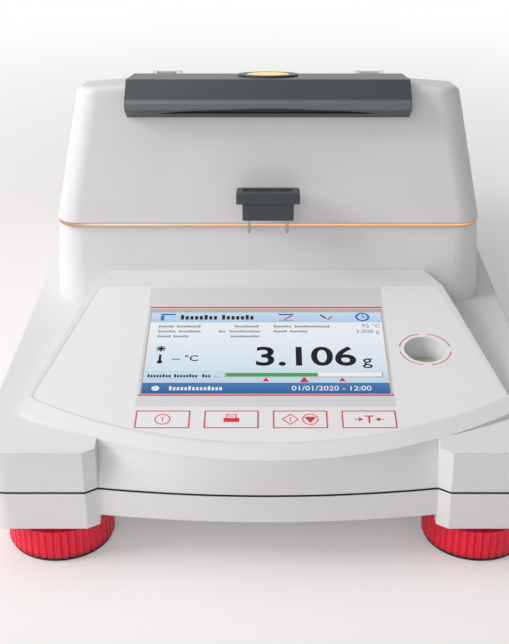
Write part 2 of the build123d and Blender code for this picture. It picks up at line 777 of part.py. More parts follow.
# Spirit level: a clear vial on the floor of its cup
with BuildPart() as level_vial:
    with BuildSketch(Plane.XY.offset(level_floor_z - LEVEL_VIAL_H)):
        with Locations((LEVEL_X, level_y)):
            Circle(LEVEL_R - KEY_GAP)
    extrude(amount=LEVEL_VIAL_H)
    chamfer(level_vial.faces().sort_by(Axis.Z)[-1].edges(), LEVEL_VIAL_EDGE)
save(level_vial, "level_vial")

# Levelling feet: a rubber pad that only slides, and a wheel with its screw that turns on it
for side, word in ((-1, "left"), (1, "right")):
    with BuildPart() as foot_pad:
        with BuildSketch(Plane.XY):
            with Locations((side * WHEEL_X, WHEEL_Y)):
                Circle(PAD_R)
        extrude(amount=WHEEL_Z - PIN_CLEAR)
        with BuildSketch(Plane.XY.offset(WHEEL_Z - PIN_CLEAR)):
            with Locations((side * WHEEL_X, WHEEL_Y)):
                Circle(PAD_PIN_R)
        extrude(amount=PAD_PIN_H)
    save(foot_pad, f"{word}_foot_pad")

    with BuildPart() as foot_wheel:
        with BuildSketch(Plane.XY.offset(WHEEL_Z)):
            with Locations((side * WHEEL_X, WHEEL_Y)):
                Circle(WHEEL_R)
                with PolarLocations(WHEEL_R + FLUTE_R / 3, WHEEL_FLUTES):
                    RegularPolygon(FLUTE_R, 4, mode=Mode.SUBTRACT)
        extrude(amount=WHEEL_TOP_Z - WHEEL_Z)
        with BuildSketch(Plane.XY.offset(WHEEL_Z)):
            with Locations((side * WHEEL_X, WHEEL_Y)):
                Circle(PAD_PIN_R + PIN_CLEAR)
        extrude(amount=PAD_PIN_H + PIN_CLEAR, mode=Mode.SUBTRACT)
    save(foot_wheel, f"{word}_foot_wheel")

    with BuildPart() as foot_screw:
        with BuildSketch(Plane.XY.offset(WHEEL_TOP_Z)):
            with Locations((side * WHEEL_X, WHEEL_Y)):
                Circle(STUD_R)
        extrude(amount=STUD_TOP_Z - WHEEL_TOP_Z)
        chamfer(foot_screw.faces().sort_by(Axis.Z)[-1].edges(), 0.8)
    save(foot_screw, f"{word}_foot_screw")

# Fixed rubber feet at the rear
with BuildPart() as rear_feet:
    with BuildSketch(Plane.XY):
        with Locations(*[(side * REAR_FOOT_X, REAR_FOOT_Y) for side in (-1, 1)]):
            Circle(REAR_FOOT_R)
    extrude(amount=REAR_BOSS_Z + REAR_FOOT_SEAT)
    chamfer(rear_feet.faces().group_by(Axis.Z)[0].edges(), 1.0)
save(rear_feet, "rear_feet")

# Chamber tray: a pressed dish that hangs by its flange on the ledge of the box
ledge_z = BOX_TOP_Z - LEDGE_DROP
tray_r = CHAMBER_R - LEDGE_W - FUSE_CLEAR
with BuildPart() as chamber_tray:
    with BuildSketch(Plane.XZ.offset(-CHAMBER_Y)):
        with BuildLine():
            Polyline(
                (STEM_HOLE_R, TRAY_FLOOR_Z),
                (tray_r, TRAY_FLOOR_Z),
                (tray_r, ledge_z),
                (CHAMBER_R - FUSE_CLEAR, ledge_z),
                (CHAMBER_R - FUSE_CLEAR, ledge_z + TRAY_T),
                (tray_r - TRAY_T, ledge_z + TRAY_T),
                (tray_r - TRAY_T, TRAY_FLOOR_Z + TRAY_T),
                (STEM_HOLE_R, TRAY_FLOOR_Z + TRAY_T),
                close=True,
            )
        make_face()
    revolve(axis=Axis((0, CHAMBER_Y, 0), (0, 0, 1)))
save(chamber_tray, "chamber_tray")

# Draft shield: a loose ring that stands on the tray round the pan
shield_r = tray_r - TRAY_T - SHIELD_GAP
with BuildPart() as draft_shield:
    with BuildSketch(Plane.XY.offset(TRAY_FLOOR_Z + TRAY_T)):
        with Locations((0, CHAMBER_Y)):
            Circle(shield_r)
            Circle(shield_r - SHIELD_T, mode=Mode.SUBTRACT)
    extrude(amount=PAN_FLOOR_Z - TRAY_FLOOR_Z - TRAY_T)
    with BuildSketch(Plane.XY.offset(TRAY_FLOOR_Z + TRAY_T)):
        with Locations((0, CHAMBER_Y)):
            Circle(shield_r)
            Circle(shield_r - 6 * SHIELD_T, mode=Mode.SUBTRACT)
    extrude(amount=SHIELD_T)
save(draft_shield, "draft_shield")

# Pan support: three arms on a stem that stands on the load cell
cell_top_z = CELL_Z + CELL_H
with BuildPart() as pan_support:
    with BuildSketch(Plane.XY.offset(PAN_FLOOR_Z - ARM_T)):
        with Locations((0, CHAMBER_Y)):
            Circle(ARM_W)
            with PolarLocations(0, 3, start_angle=90):
                with Locations((PAN_R / 2 - ARM_W / 2, 0)):
                    SlotOverall(PAN_R + ARM_W, ARM_W)
    extrude(amount=ARM_T)
    with BuildSketch(Plane.XY.offset(cell_top_z)):
        with Locations((0, CHAMBER_Y)):
            Circle(STEM_R)
    extrude(amount=PAN_FLOOR_Z - ARM_T - cell_top_z)
save(pan_support, "pan_support")

# Sample pan: a shallow pressed dish whose rolled rim rests on the handler's ring
pan_rim_z = WIRE_Z + WIRE_R
with BuildPart() as sample_pan:
    with BuildSketch(Plane.XZ.offset(-CHAMBER_Y)):
        with BuildLine():
            Polyline(
                (0, PAN_FLOOR_Z),
                (PAN_R, PAN_FLOOR_Z),
                (PAN_R, pan_rim_z),
                (PAN_R + PAN_RIM_W, pan_rim_z),
                (PAN_R + PAN_RIM_W, pan_rim_z + PAN_T),
                (PAN_R - PAN_T, pan_rim_z + PAN_T),
                (PAN_R - PAN_T, PAN_FLOOR_Z + PAN_T),
                (0, PAN_FLOOR_Z + PAN_T),
                close=True,
            )
        make_face()
    revolve(axis=Axis((0, CHAMBER_Y, 0), (0, 0, 1)))
save(sample_pan, "sample_pan")

# Handler wire: a ring under the pan's rim and two legs that pass out under the lid
ring_r = PAN_R + WIRE_R + WIRE_CLEAR
leg_y = CHAMBER_Y - (ring_r**2 - WIRE_X**2) ** 0.5
leg_front_y = GRIP_Y + GRIP_NECK_D / 2
wire_top_z = GRIP_NECK_Z + 4 * WIRE_R
with BuildPart() as handler_wire:
    with BuildSketch(Plane.XZ.offset(-CHAMBER_Y)):
        with Locations((ring_r, WIRE_Z)):
            RegularPolygon(WIRE_R, WIRE_SIDES)
    revolve(axis=Axis((0, CHAMBER_Y, 0), (0, 0, 1)))
    for x in (-WIRE_X, WIRE_X):
        with BuildLine():
            FilletPolyline(
                (x, leg_y, WIRE_Z),
                (x, leg_front_y, WIRE_Z),
                (x, leg_front_y, wire_top_z),
                radius=3 * WIRE_R,
            )
        with BuildSketch(Plane.XZ.offset(-leg_y)):
            with Locations((x, WIRE_Z)):
                RegularPolygon(WIRE_R, WIRE_SIDES)
        sweep()
save(handler_wire, "handler_wire")

# Handler grip: a moulded T on the two legs
with BuildPart() as handler_grip:
    with BuildSketch(Plane.XY.offset(GRIP_NECK_Z)):
        with Locations((0, GRIP_Y + GRIP_NECK_D / 2)):
            RectangleRounded(GRIP_NECK_W, GRIP_NECK_D, 0.8)
    extrude(amount=GRIP_CAP_Z - GRIP_NECK_Z)
    with BuildSketch(Plane.XY.offset(GRIP_CAP_Z)):
        with Locations((0, GRIP_Y + GRIP_CAP_D / 2 - 1)):
            RectangleRounded(GRIP_CAP_W, GRIP_CAP_D, 0.8)
    extrude(amount=GRIP_TOP_Z - GRIP_CAP_Z)
    chamfer(handler_grip.faces().sort_by(Axis.Z)[-1].edges(), 0.7)
    with BuildSketch(Plane.XY.offset(GRIP_TOP_Z)):
        with Locations((0, GRIP_Y + GRIP_CAP_D / 2 - 1)):
            Rectangle(GRIP_CAP_TOP_W, GRIP_CAP_D / 2)
    extrude(amount=-0.6, mode=Mode.SUBTRACT)
    with BuildSketch(Plane.XY.offset(GRIP_NECK_Z)):
        with Locations((-WIRE_X, leg_front_y), (WIRE_X, leg_front_y)):
            Circle(WIRE_R)
    extrude(amount=4 * WIRE_R, mode=Mode.SUBTRACT)
save(handler_grip, "handler_grip")

# Load cell: a double bending beam, fixed at its rear end
cell_mid_y = (CELL_FRONT_Y + CELL_REAR_Y) / 2
with BuildPart() as load_cell:
    with BuildSketch(Plane.YZ.offset(-CELL_W / 2)):
        with Locations((cell_mid_y, CELL_Z + CELL_H / 2)):
            Rectangle(CELL_REAR_Y - CELL_FRONT_Y, CELL_H)
            with GridLocations(CELL_W, 0, 2, 1):
                Circle(CELL_H * 0.4, mode=Mode.SUBTRACT)
            Rectangle(CELL_W, CELL_H * 0.3, mode=Mode.SUBTRACT)
    extrude(amount=CELL_W)
save(load_cell, "load_cell")

# Block that carries the load cell's fixed end on the floor of the case
with BuildPart() as cell_block:
    with BuildSketch(Plane.XY.offset(floor_top_z)):
        with Locations((0, CELL_REAR_Y - CELL_W / 2)):
            RectangleRounded(CELL_W + 4 * WALL, CELL_W, 2.0)
    extrude(amount=CELL_Z - floor_top_z)
save(cell_block, "cell_block")

# Main board with its larger components, on posts
with BuildPart() as main_board:
    with BuildSketch(Plane.XY.offset(MAIN_BOARD_Z)):
        with Locations((0, MAIN_BOARD_Y)):
            RectangleRounded(MAIN_BOARD_W, MAIN_BOARD_D, 2.0)
    extrude(amount=BOARD_T)
    for x, y, w, d, h in MAIN_BOARD_CHIPS:
        with BuildSketch(Plane.XY.offset(MAIN_BOARD_Z + BOARD_T)):
            with Locations((x, MAIN_BOARD_Y + y)):
                Rectangle(w, d)
        extrude(amount=h)
save(main_board, "main_board")

# Power supply board
with BuildPart() as power_supply:
    with BuildSketch(Plane.XY.offset(MAIN_BOARD_Z)):
        with Locations((SUPPLY_X, SUPPLY_Y)):
            RectangleRounded(SUPPLY_W, SUPPLY_D, 2.0)
    extrude(amount=BOARD_T)
    for x, y, w, d, h in SUPPLY_CHIPS:
        with BuildSketch(Plane.XY.offset(MAIN_BOARD_Z + BOARD_T)):
            with Locations((SUPPLY_X + x, SUPPLY_Y + y)):
                Rectangle(w, d)
        extrude(amount=h)
save(power_supply, "power_supply")

# Rear plate, screwed inside the rear wall, with cut-outs for the sockets
plate_y = CASE_REAR_Y - WALL
plate_mid_z = sum(REAR_PLATE_Z) / 2
plate_h = REAR_PLATE_Z[1] - REAR_PLATE_Z[0]
socket_sizes = {
    "power_inlet": (INLET_X, INLET_W, INLET_H),
    "fuse_holder": (FUSE_X, FUSE_W, FUSE_H),
    "serial_port": (SERIAL_X, SERIAL_W, SERIAL_H),
    "usb_device_port": (USB_B_X, USB_B_W, USB_B_H),
    "usb_host_port": (USB_A_X, USB_A_W, USB_A_H),
}
with BuildPart() as rear_plate:
    with BuildSketch(Plane.XZ.offset(-plate_y)):
        with Locations((0, plate_mid_z)):
            Rectangle(2 * (REAR_PLATE_HALF_W + REAR_PLATE_LAP), plate_h + 1.2 * REAR_PLATE_LAP)
        for x, w, h in socket_sizes.values():
            with Locations((x, SOCKET_Z)):
                Rectangle(w, h, mode=Mode.SUBTRACT)
    extrude(amount=REAR_PLATE_T)
save(rear_plate, "rear_plate")


def socket_shell(x, w, h, depth, mouth_w, mouth_h, mouth_depth, corner):
    """A socket's body behind the plate, flush with it, with a mouth cut in its face."""
    with BuildPart() as shell:
        with BuildSketch(Plane.XZ.offset(-plate_y)):
            with Locations((x, SOCKET_Z)):
                Rectangle(w, h)
        extrude(amount=depth)
        with BuildSketch(Plane.XZ.offset(-plate_y)):
            with Locations((x, SOCKET_Z)):
                RectangleRounded(mouth_w, mouth_h, corner)
        extrude(amount=mouth_depth, mode=Mode.SUBTRACT)
    return shell.part


# Mains inlet: a deep mouth with chamfered lower corners and three flat pins
with BuildPart() as power_inlet:
    add(socket_shell(INLET_X, INLET_W, INLET_H, INLET_DEPTH, INLET_MOUTH_W, INLET_MOUTH_H,
                     INLET_MOUTH_DEPTH, 2.0))
    with BuildSketch(Plane.XZ.offset(-plate_y + INLET_MOUTH_DEPTH)):
        with Locations((INLET_X - 7, SOCKET_Z - 2), (INLET_X, SOCKET_Z + 2), (INLET_X + 7, SOCKET_Z - 2)):
            Rectangle(2.0, 4.0)
    extrude(amount=-INLET_MOUTH_DEPTH * 0.8)
save(power_inlet, "power_inlet")

# Fuse drawer beside the inlet: it pulls out to the rear from its holder
with BuildPart() as fuse_holder:
    add(socket_shell(FUSE_X, FUSE_W, FUSE_H, FUSE_DEPTH, FUSE_W - 3, FUSE_H - 3, FUSE_DEPTH - 2, 0.5))
save(fuse_holder, "fuse_holder")
with BuildPart() as fuse_drawer:
    with BuildSketch(Plane.XZ.offset(-plate_y)):
        with Locations((FUSE_X, SOCKET_Z)):
            Rectangle(FUSE_W - 3 - 2 * FUSE_CLEAR, FUSE_H - 3 - 2 * FUSE_CLEAR)
    extrude(amount=FUSE_DEPTH - 4)
    with BuildSketch(Plane.XY.offset(SOCKET_Z + FUSE_H / 2)):
        with Locations((FUSE_X, plate_y - FUSE_DEPTH / 2)):
            Rectangle(FUSE_W - 8, FUSE_DEPTH / 2)
    extrude(amount=-FUSE_H + 4, mode=Mode.SUBTRACT)
    with BuildSketch(Plane.XZ.offset(-plate_y)):
        with Locations((FUSE_X, SOCKET_Z)):
            Rectangle(FUSE_W - 8, 1.6)
    extrude(amount=-1.0)
save(fuse_drawer, "fuse_drawer")

# Data sockets
with BuildPart() as serial_port:
    add(
        socket_shell(
            SERIAL_X, SERIAL_W, SERIAL_H, SERIAL_DEPTH,
            SERIAL_MOUTH_W, SERIAL_MOUTH_H, SERIAL_MOUTH_DEPTH, SERIAL_CORNER_R,
        )
    )
    with BuildSketch(Plane.XZ.offset(-plate_y + SERIAL_MOUTH_DEPTH)):
        for row_z, count in ((1.4, 5), (-1.4, 4)):
            with Locations((SERIAL_X, SOCKET_Z + row_z)):
                with GridLocations(2.77, 0, count, 1):
                    Circle(0.5)
    extrude(amount=-4.0)
save(serial_port, "serial_port")
with BuildPart() as usb_device_port:
    add(socket_shell(USB_B_X, USB_B_W, USB_B_H, USB_DEPTH, 8.6, 7.8, USB_MOUTH_DEPTH, 1.0))
    with BuildSketch(Plane.XZ.offset(-plate_y + USB_MOUTH_DEPTH)):
        with Locations((USB_B_X, SOCKET_Z)):
            Rectangle(5.6, 3.2)
    extrude(amount=-7.0)
save(usb_device_port, "usb_device_port")
with BuildPart() as usb_host_port:
    add(socket_shell(USB_A_X, USB_A_W, USB_A_H, USB_DEPTH, 12.6, 5.4, USB_MOUTH_DEPTH, 0.4))
    with BuildSketch(Plane.XZ.offset(-plate_y + USB_MOUTH_DEPTH)):
        with Locations((USB_A_X, SOCKET_Z + 1.2)):
            Rectangle(11.0, 1.6)
    extrude(amount=-8.0)
save(usb_host_port, "usb_host_port")

# Rubber buffers on the box's rim, which the closed lid rests on
with BuildPart() as lid_buffers:
    with BuildSketch(Plane.XY.offset(BOX_TOP_Z)):
        with Locations(*[(side * (LID_HALF_W - LID_WALL / 2), y) for side in (-1, 1) for y in BUFFER_YS]):
            Circle(BUFFER_R)
    extrude(amount=LID_Z - BOX_TOP_Z - BUFFER_CLEAR)
save(lid_buffers, "lid_buffers")

# Hinge ears on the box, in pairs round each arm of the lid
ear_in = ARM_KNUCKLE_W / 2 + EAR_CLEAR
ear_offsets = (-ear_in - EAR_T, ear_in)
with BuildPart() as hinge_ears:
    for side in (-1, 1):
        for start in ear_offsets:
            with BuildSketch(Plane.YZ.offset(side * HINGE_X + start)):
                with Locations((PIVOT_Y, PIVOT_Z)):
                    Circle(KNUCKLE_R)
                with Locations((PIVOT_Y, (BOX_TOP_Z + PIVOT_Z) / 2)):
                    Rectangle(2 * KNUCKLE_R, PIVOT_Z - BOX_TOP_Z)
                with Locations((PIVOT_Y, PIVOT_Z)):
                    Circle(PIN_R, mode=Mode.SUBTRACT)
            extrude(amount=EAR_T)
        with BuildSketch(Plane.XY.offset(BOX_TOP_Z)):
            with Locations((side * HINGE_X, PIVOT_Y)):
                Rectangle(2 * (ear_in + EAR_T), 2 * KNUCKLE_R)
        extrude(amount=EAR_FOOT_T / 2)
save(hinge_ears, "hinge_ears")

# Hinge pins, tight in the ears and free in the arms
with BuildPart() as hinge_pins:
    for side in (-1, 1):
        with BuildSketch(Plane.YZ.offset(side * HINGE_X - ear_in - EAR_T)):
            with Locations((PIVOT_Y, PIVOT_Z)):
                Circle(PIN_R)
        extrude(amount=2 * (ear_in + EAR_T))
save(hinge_pins, "hinge_pins")


def lid_wall_y(z):
    """Where the lid's flat rear face stands at a height."""
    return LID_REAR_Y - LID_REAR_LEAN * (z - LID_Z) / (LID_REAR_CROWN_Z - LID_Z)


# Hinge arms: a foot on the lid's rear face and a knuckle round the pin
arm_low_z = PIVOT_Z - KNUCKLE_R + 0.4
arm_high_z = PIVOT_Z + 2.6
with BuildPart() as hinge_arms:
    for side in (-1, 1):
        with BuildSketch(Plane.YZ.offset(side * HINGE_X - ARM_KNUCKLE_W / 2)):
            with Locations((PIVOT_Y, PIVOT_Z)):
                Circle(KNUCKLE_R - 0.4)
            with BuildLine():
                Polyline(
                    (lid_wall_y(arm_low_z), arm_low_z),
                    (PIVOT_Y, arm_low_z),
                    (PIVOT_Y, PIVOT_Z + KNUCKLE_R - 0.4),
                    (lid_wall_y(arm_high_z), arm_high_z),
                    close=True,
                )
            make_face()
            with Locations((PIVOT_Y, PIVOT_Z)):
                Circle(PIN_R + PIN_CLEAR, mode=Mode.SUBTRACT)
        extrude(amount=ARM_KNUCKLE_W)
save(hinge_arms, "hinge_arms")


def handle_top_z(y):
    """The height of the lid's crown behind its break."""
    run = (LID_BREAK_Y - y) / (LID_REAR_Y - LID_REAR_LEAN - LID_BREAK_Y)
    return lid_break_z + run * (lid_break_z - LID_REAR_CROWN_Z)


def handle_form(*outer):
    """A body as wide as the handle, from the lid's pocket up to the given outer line."""
    foot_y = LID_FRONT_Y + LID_FRONT_LEAN * (HANDLE_FOOT_Z - LID_Z) / (LID_CROWN_Z - LID_Z)
    with BuildPart() as form:
        with BuildSketch(Plane.YZ.offset(-HANDLE_HALF_W)):
            with BuildLine():
                Polyline(
                    *outer,
                    (foot_y, HANDLE_FOOT_Z),
                    (foot_y + HANDLE_T, HANDLE_FOOT_Z),
                    (lid_brow_y + HANDLE_T, LID_CROWN_Z - HANDLE_T * (1 + LID_PANEL_SLOPE)),
                    (LID_BREAK_Y, lid_break_z - HANDLE_T),
                    (HANDLE_TOP_REAR_Y, handle_top_z(HANDLE_TOP_REAR_Y) - HANDLE_T),
                    close=True,
                )
            make_face()
        extrude(amount=2 * HANDLE_HALF_W)
    return form.part


# Lid shell: one moulding, open below, with bosses for the heater plate
with BuildPart() as lid_bosses:
    with BuildSketch(Plane.XY.offset(LINER_Z + LINER_T)):
        with Locations(*[(side * LID_BOSS_X, y) for side in (-1, 1) for y in LID_BOSS_YS]):
            Circle(BOSS_R)
            Circle(SCREW_R, mode=Mode.SUBTRACT)
    extrude(amount=LID_CROWN_Z)
    add(lid_form(LID_WALL / 2), mode=Mode.INTERSECT)
with BuildPart() as lid_shell:
    add(lid_form())
    add(lid_form(LID_WALL), mode=Mode.SUBTRACT)
    add(lid_bosses.part)
    pocket = handle_form(
        (HANDLE_TOP_REAR_Y, LID_CROWN_Z + HANDLE_T),
        (HANDLE_GRIP_Y, LID_CROWN_Z + HANDLE_T),
        (HANDLE_GRIP_Y, HANDLE_FOOT_Z),
    )
    add(pocket, mode=Mode.SUBTRACT)
    with BuildSketch(Plane.XY.offset(LID_Z)):
        with Locations((0, WINDOW_Y)):
            Circle(WINDOW_R - 1)
    extrude(amount=LID_CROWN_Z, mode=Mode.SUBTRACT)
save(lid_shell, "lid_shell")

# Handle, with the finger scoop under its bar and the hole for the window
window_plane = Plane(
    origin=(0, WINDOW_Y, LID_CROWN_Z - LID_PANEL_SLOPE * (WINDOW_Y - LID_FRONT_Y - LID_FRONT_LEAN)),
    x_dir=(1, 0, 0),
    z_dir=(0, LID_PANEL_SLOPE, 1),
)
with BuildPart() as lid_handle:
    cover = handle_form(
        (HANDLE_TOP_REAR_Y, handle_top_z(HANDLE_TOP_REAR_Y)),
        (LID_BREAK_Y, lid_break_z),
        (lid_brow_y, LID_CROWN_Z),
        (HANDLE_GRIP_Y + HANDLE_CHAMFER, HANDLE_BROW_Z),
        (HANDLE_GRIP_Y, HANDLE_GRIP_TOP_Z),
        (HANDLE_GRIP_Y, HANDLE_GRIP_Z),
    )
    add(cover)
    with BuildSketch(Plane.XZ.offset(-HANDLE_GRIP_Y)):
        with BuildLine():
            scoop_low = HANDLE_GRIP_Z - SCOOP_RISE
            scoop = ThreePointArc(
                (-SCOOP_HALF_W, scoop_low), (0, HANDLE_GRIP_Z + SCOOP_BITE), (SCOOP_HALF_W, scoop_low)
            )
            Line(scoop @ 1, scoop @ 0)
        make_face()
    extrude(amount=-SCOOP_D, mode=Mode.SUBTRACT)
    with BuildSketch(window_plane):
        Circle(WINDOW_R)
    extrude(amount=-2 * HANDLE_T, mode=Mode.SUBTRACT)
save(lid_handle, "lid_handle")

# Window over the sample: a raised rim and a disc of glass
with BuildPart() as window_rim:
    with BuildSketch(window_plane):
        Circle(WINDOW_R + RIM_W)
        Circle(WINDOW_R - RIM_W / 2, mode=Mode.SUBTRACT)
    extrude(amount=RIM_H)
save(window_rim, "window_rim")
with BuildPart() as window_glass:
    with BuildSketch(window_plane):
        Circle(WINDOW_R - KEY_GAP)
    extrude(amount=-WINDOW_T)
save(window_glass, "window_glass")

# Heater plate: a pressed sheet that closes the lid round the heater
liner_inset = LID_WALL + 1.0
with BuildPart() as heater_plate:
    add(lid_form(liner_inset))
    with BuildSketch(Plane.XY.offset(LINER_Z)):
        Rectangle(3 * FRONT_HALF_W, 2 * CASE_REAR_Y)
    extrude(amount=LINER_T, mode=Mode.INTERSECT)
    with BuildSketch(Plane.XY.offset(LINER_Z)):
        with Locations((0, CHAMBER_Y)):
            Circle(HEATER_R)
        with Locations(*[(side * LID_BOSS_X, y) for side in (-1, 1) for y in LID_BOSS_YS]):
            Circle(SCREW_R)
    extrude(amount=LINER_T, mode=Mode.SUBTRACT)
save(heater_plate, "heater_plate")

# Screws that hold the heater plate to the lid
with BuildPart() as lid_screws:
    for x, y in [(side * LID_BOSS_X, y) for side in (-1, 1) for y in LID_BOSS_YS]:
        with BuildSketch(Plane.XY.offset(LINER_Z)):
            with Locations((x, y)):
                Circle(SCREW_HEAD_R)
        extrude(amount=-SCREW_HEAD_H)
        with BuildSketch(Plane.XY.offset(LINER_Z)):
            with Locations((x, y)):
                Circle(SCREW_R)
        extrude(amount=3 * SCREW_HEAD_H)
save(lid_screws, "lid_screws")

# Guard glass under the lamp, held up by a ring
guard_r = HEATER_R + RETAINER_W / 3
with BuildPart() as guard_glass:
    with BuildSketch(Plane.XY.offset(LINER_Z - GLASS_DISC_T)):
        with Locations((0, CHAMBER_Y)):
            Circle(guard_r)
    extrude(amount=GLASS_DISC_T)
save(guard_glass, "guard_glass")
with BuildPart() as glass_ring:
    with BuildSketch(Plane.XZ.offset(-CHAMBER_Y)):
        with BuildLine():
            Polyline(
                (guard_r - RETAINER_W / 2, LINER_Z - GLASS_DISC_T - RETAINER_T),
                (guard_r + RETAINER_W / 2, LINER_Z - GLASS_DISC_T - RETAINER_T),
                (guard_r + RETAINER_W / 2, LINER_Z),
                (guard_r + KEY_GAP, LINER_Z),
                (guard_r + KEY_GAP, LINER_Z - GLASS_DISC_T),
                (guard_r - RETAINER_W / 2, LINER_Z - GLASS_DISC_T),
                close=True,
            )
        make_face()
    revolve(axis=Axis((0, CHAMBER_Y, 0), (0, 0, 1)))
save(glass_ring, "glass_ring")

# Reflector: a spun dish over the ring lamp, open in the middle for the window
reflector_foot_z = LINER_Z + LINER_T
pinch_angle = LAMP_R / LAMP_RING_R
lamp_end_angles = (pinch_angle, -radians(LAMP_GAP_DEG) - pinch_angle)
lamp_ends = [
    (LAMP_RING_R * cos(angle), CHAMBER_Y + LAMP_RING_R * sin(angle)) for angle in lamp_end_angles
]
probe_y = CHAMBER_Y - 2 * WINDOW_R
with BuildPart() as reflector:
    with BuildSketch(Plane.XZ.offset(-CHAMBER_Y)):
        with BuildLine():
            Polyline(
                (HEATER_R + RETAINER_W / 2, reflector_foot_z),
                (HEATER_R + RETAINER_W / 2, reflector_foot_z + REFLECTOR_T),
                (HEATER_R - 2.0, reflector_foot_z + REFLECTOR_T),
                (HEATER_R - 4.0, LAMP_Z),
                (LAMP_RING_R + 4.0, REFLECTOR_TOP_Z),
                (WINDOW_R + 2.0, REFLECTOR_TOP_Z + 1.0),
                (WINDOW_R + 2.0, REFLECTOR_TOP_Z + 1.0 - REFLECTOR_T),
                (LAMP_RING_R + 4.0 - REFLECTOR_T, REFLECTOR_TOP_Z - REFLECTOR_T),
                (HEATER_R - 4.0 - REFLECTOR_T, LAMP_Z),
                (HEATER_R - 2.0 - REFLECTOR_T, reflector_foot_z),
                close=True,
            )
        make_face()
    revolve(axis=Axis((0, CHAMBER_Y, 0), (0, 0, 1)))
    with BuildSketch(Plane.XY.offset(LAMP_Z)):
        with Locations(*lamp_ends):
            Circle(LAMP_PINCH_R + LAMP_CLEAR)
        with Locations((0, probe_y)):
            Circle(PROBE_R)
    extrude(amount=4 * LAMP_R, mode=Mode.SUBTRACT)
save(reflector, "reflector")

# Halogen lamp: a glass ring, open at one side, whose ends turn up into their sockets
tube_r = LAMP_R - LAMP_CLEAR
socket_z = REFLECTOR_TOP_Z + LAMP_CLEAR
with BuildPart() as halogen_lamp:
    with BuildSketch(Plane.XZ.offset(-CHAMBER_Y)):
        with Locations((LAMP_RING_R, LAMP_Z)):
            RegularPolygon(tube_r, LAMP_SIDES)
    revolve(axis=Axis((0, CHAMBER_Y, 0), (0, 0, 1)), revolution_arc=360 - LAMP_GAP_DEG)
    with BuildSketch(Plane.XY.offset(LAMP_Z)):
        with Locations(*lamp_ends):
            Circle(LAMP_PINCH_R)
    extrude(amount=socket_z + SOCKET_H / 2 - LAMP_Z)
save(halogen_lamp, "halogen_lamp")

# Ceramic sockets on the reflector, one on each end of the lamp
with BuildPart() as lamp_sockets:
    with BuildSketch(Plane.XY.offset(socket_z)):
        with Locations(*lamp_ends):
            RectangleRounded(SOCKET_W, SOCKET_W, 1.5)
    extrude(amount=SOCKET_H)
    with BuildSketch(Plane.XY.offset(socket_z)):
        with Locations(*lamp_ends):
            Circle(LAMP_PINCH_R)
    extrude(amount=SOCKET_H / 2, mode=Mode.SUBTRACT)
save(lamp_sockets, "lamp_sockets")

# Temperature sensor: a steel probe through the reflector, with a collar on top of it
with BuildPart() as temperature_sensor:
    with BuildSketch(Plane.XY.offset(LAMP_Z - PROBE_DROP)):
        with Locations((0, probe_y)):
            Circle(PROBE_R)
    extrude(amount=socket_z + SOCKET_H + PROBE_DROP - LAMP_Z)
    with BuildSketch(Plane.XY.offset(REFLECTOR_TOP_Z + 1.0)):
        with Locations((0, probe_y)):
            Circle(2.5 * PROBE_R)
    extrude(amount=2 * PROBE_R)
save(temperature_sensor, "temperature_sensor")
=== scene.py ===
"""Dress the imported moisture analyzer: finishes, prints, lit display, heater glow and studio."""

from __future__ import annotations

import logging
import math
from dataclasses import dataclass
from enum import Enum
from typing import Any, ClassVar, Iterable, Sequence

import bmesh
import bpy
from mathutils import Matrix, Vector


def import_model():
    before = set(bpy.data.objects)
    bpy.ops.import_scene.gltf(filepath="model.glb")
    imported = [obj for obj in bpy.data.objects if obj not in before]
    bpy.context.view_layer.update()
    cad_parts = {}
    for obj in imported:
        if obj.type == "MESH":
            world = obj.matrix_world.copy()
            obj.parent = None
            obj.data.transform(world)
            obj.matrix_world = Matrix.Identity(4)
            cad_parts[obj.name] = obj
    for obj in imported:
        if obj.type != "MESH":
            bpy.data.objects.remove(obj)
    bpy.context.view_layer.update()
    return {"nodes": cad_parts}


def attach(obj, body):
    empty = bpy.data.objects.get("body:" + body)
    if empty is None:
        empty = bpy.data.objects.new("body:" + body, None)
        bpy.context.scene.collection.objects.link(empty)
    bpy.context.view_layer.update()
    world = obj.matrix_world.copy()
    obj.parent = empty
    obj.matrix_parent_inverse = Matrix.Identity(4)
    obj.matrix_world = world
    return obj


LOG = logging.getLogger("analyzer")
MM = 0.001
SMOOTH = {"interpolation_type": "SMOOTHSTEP"}

Colour = tuple[float, float, float, float]
Point = tuple[float, float]
Triple = tuple[float, float, float]


def paint(red: int, green: int, blue: int) -> Colour:
    """Turn a colour as it shows on a screen, 0 to 255, into an opaque linear one."""
    parts = [c / 255 for c in (red, green, blue)]
    return (*(c / 12.92 if c <= 0.04045 else ((c + 0.055) / 1.055) ** 2.4 for c in parts), 1.0)


def scaled(colour: Colour, factor: float, lift: float = 0.0) -> Colour:
    """Make a colour darker or paler, up to white."""
    return (*(min(1.0, part * factor + lift) for part in colour[:3]), 1.0)


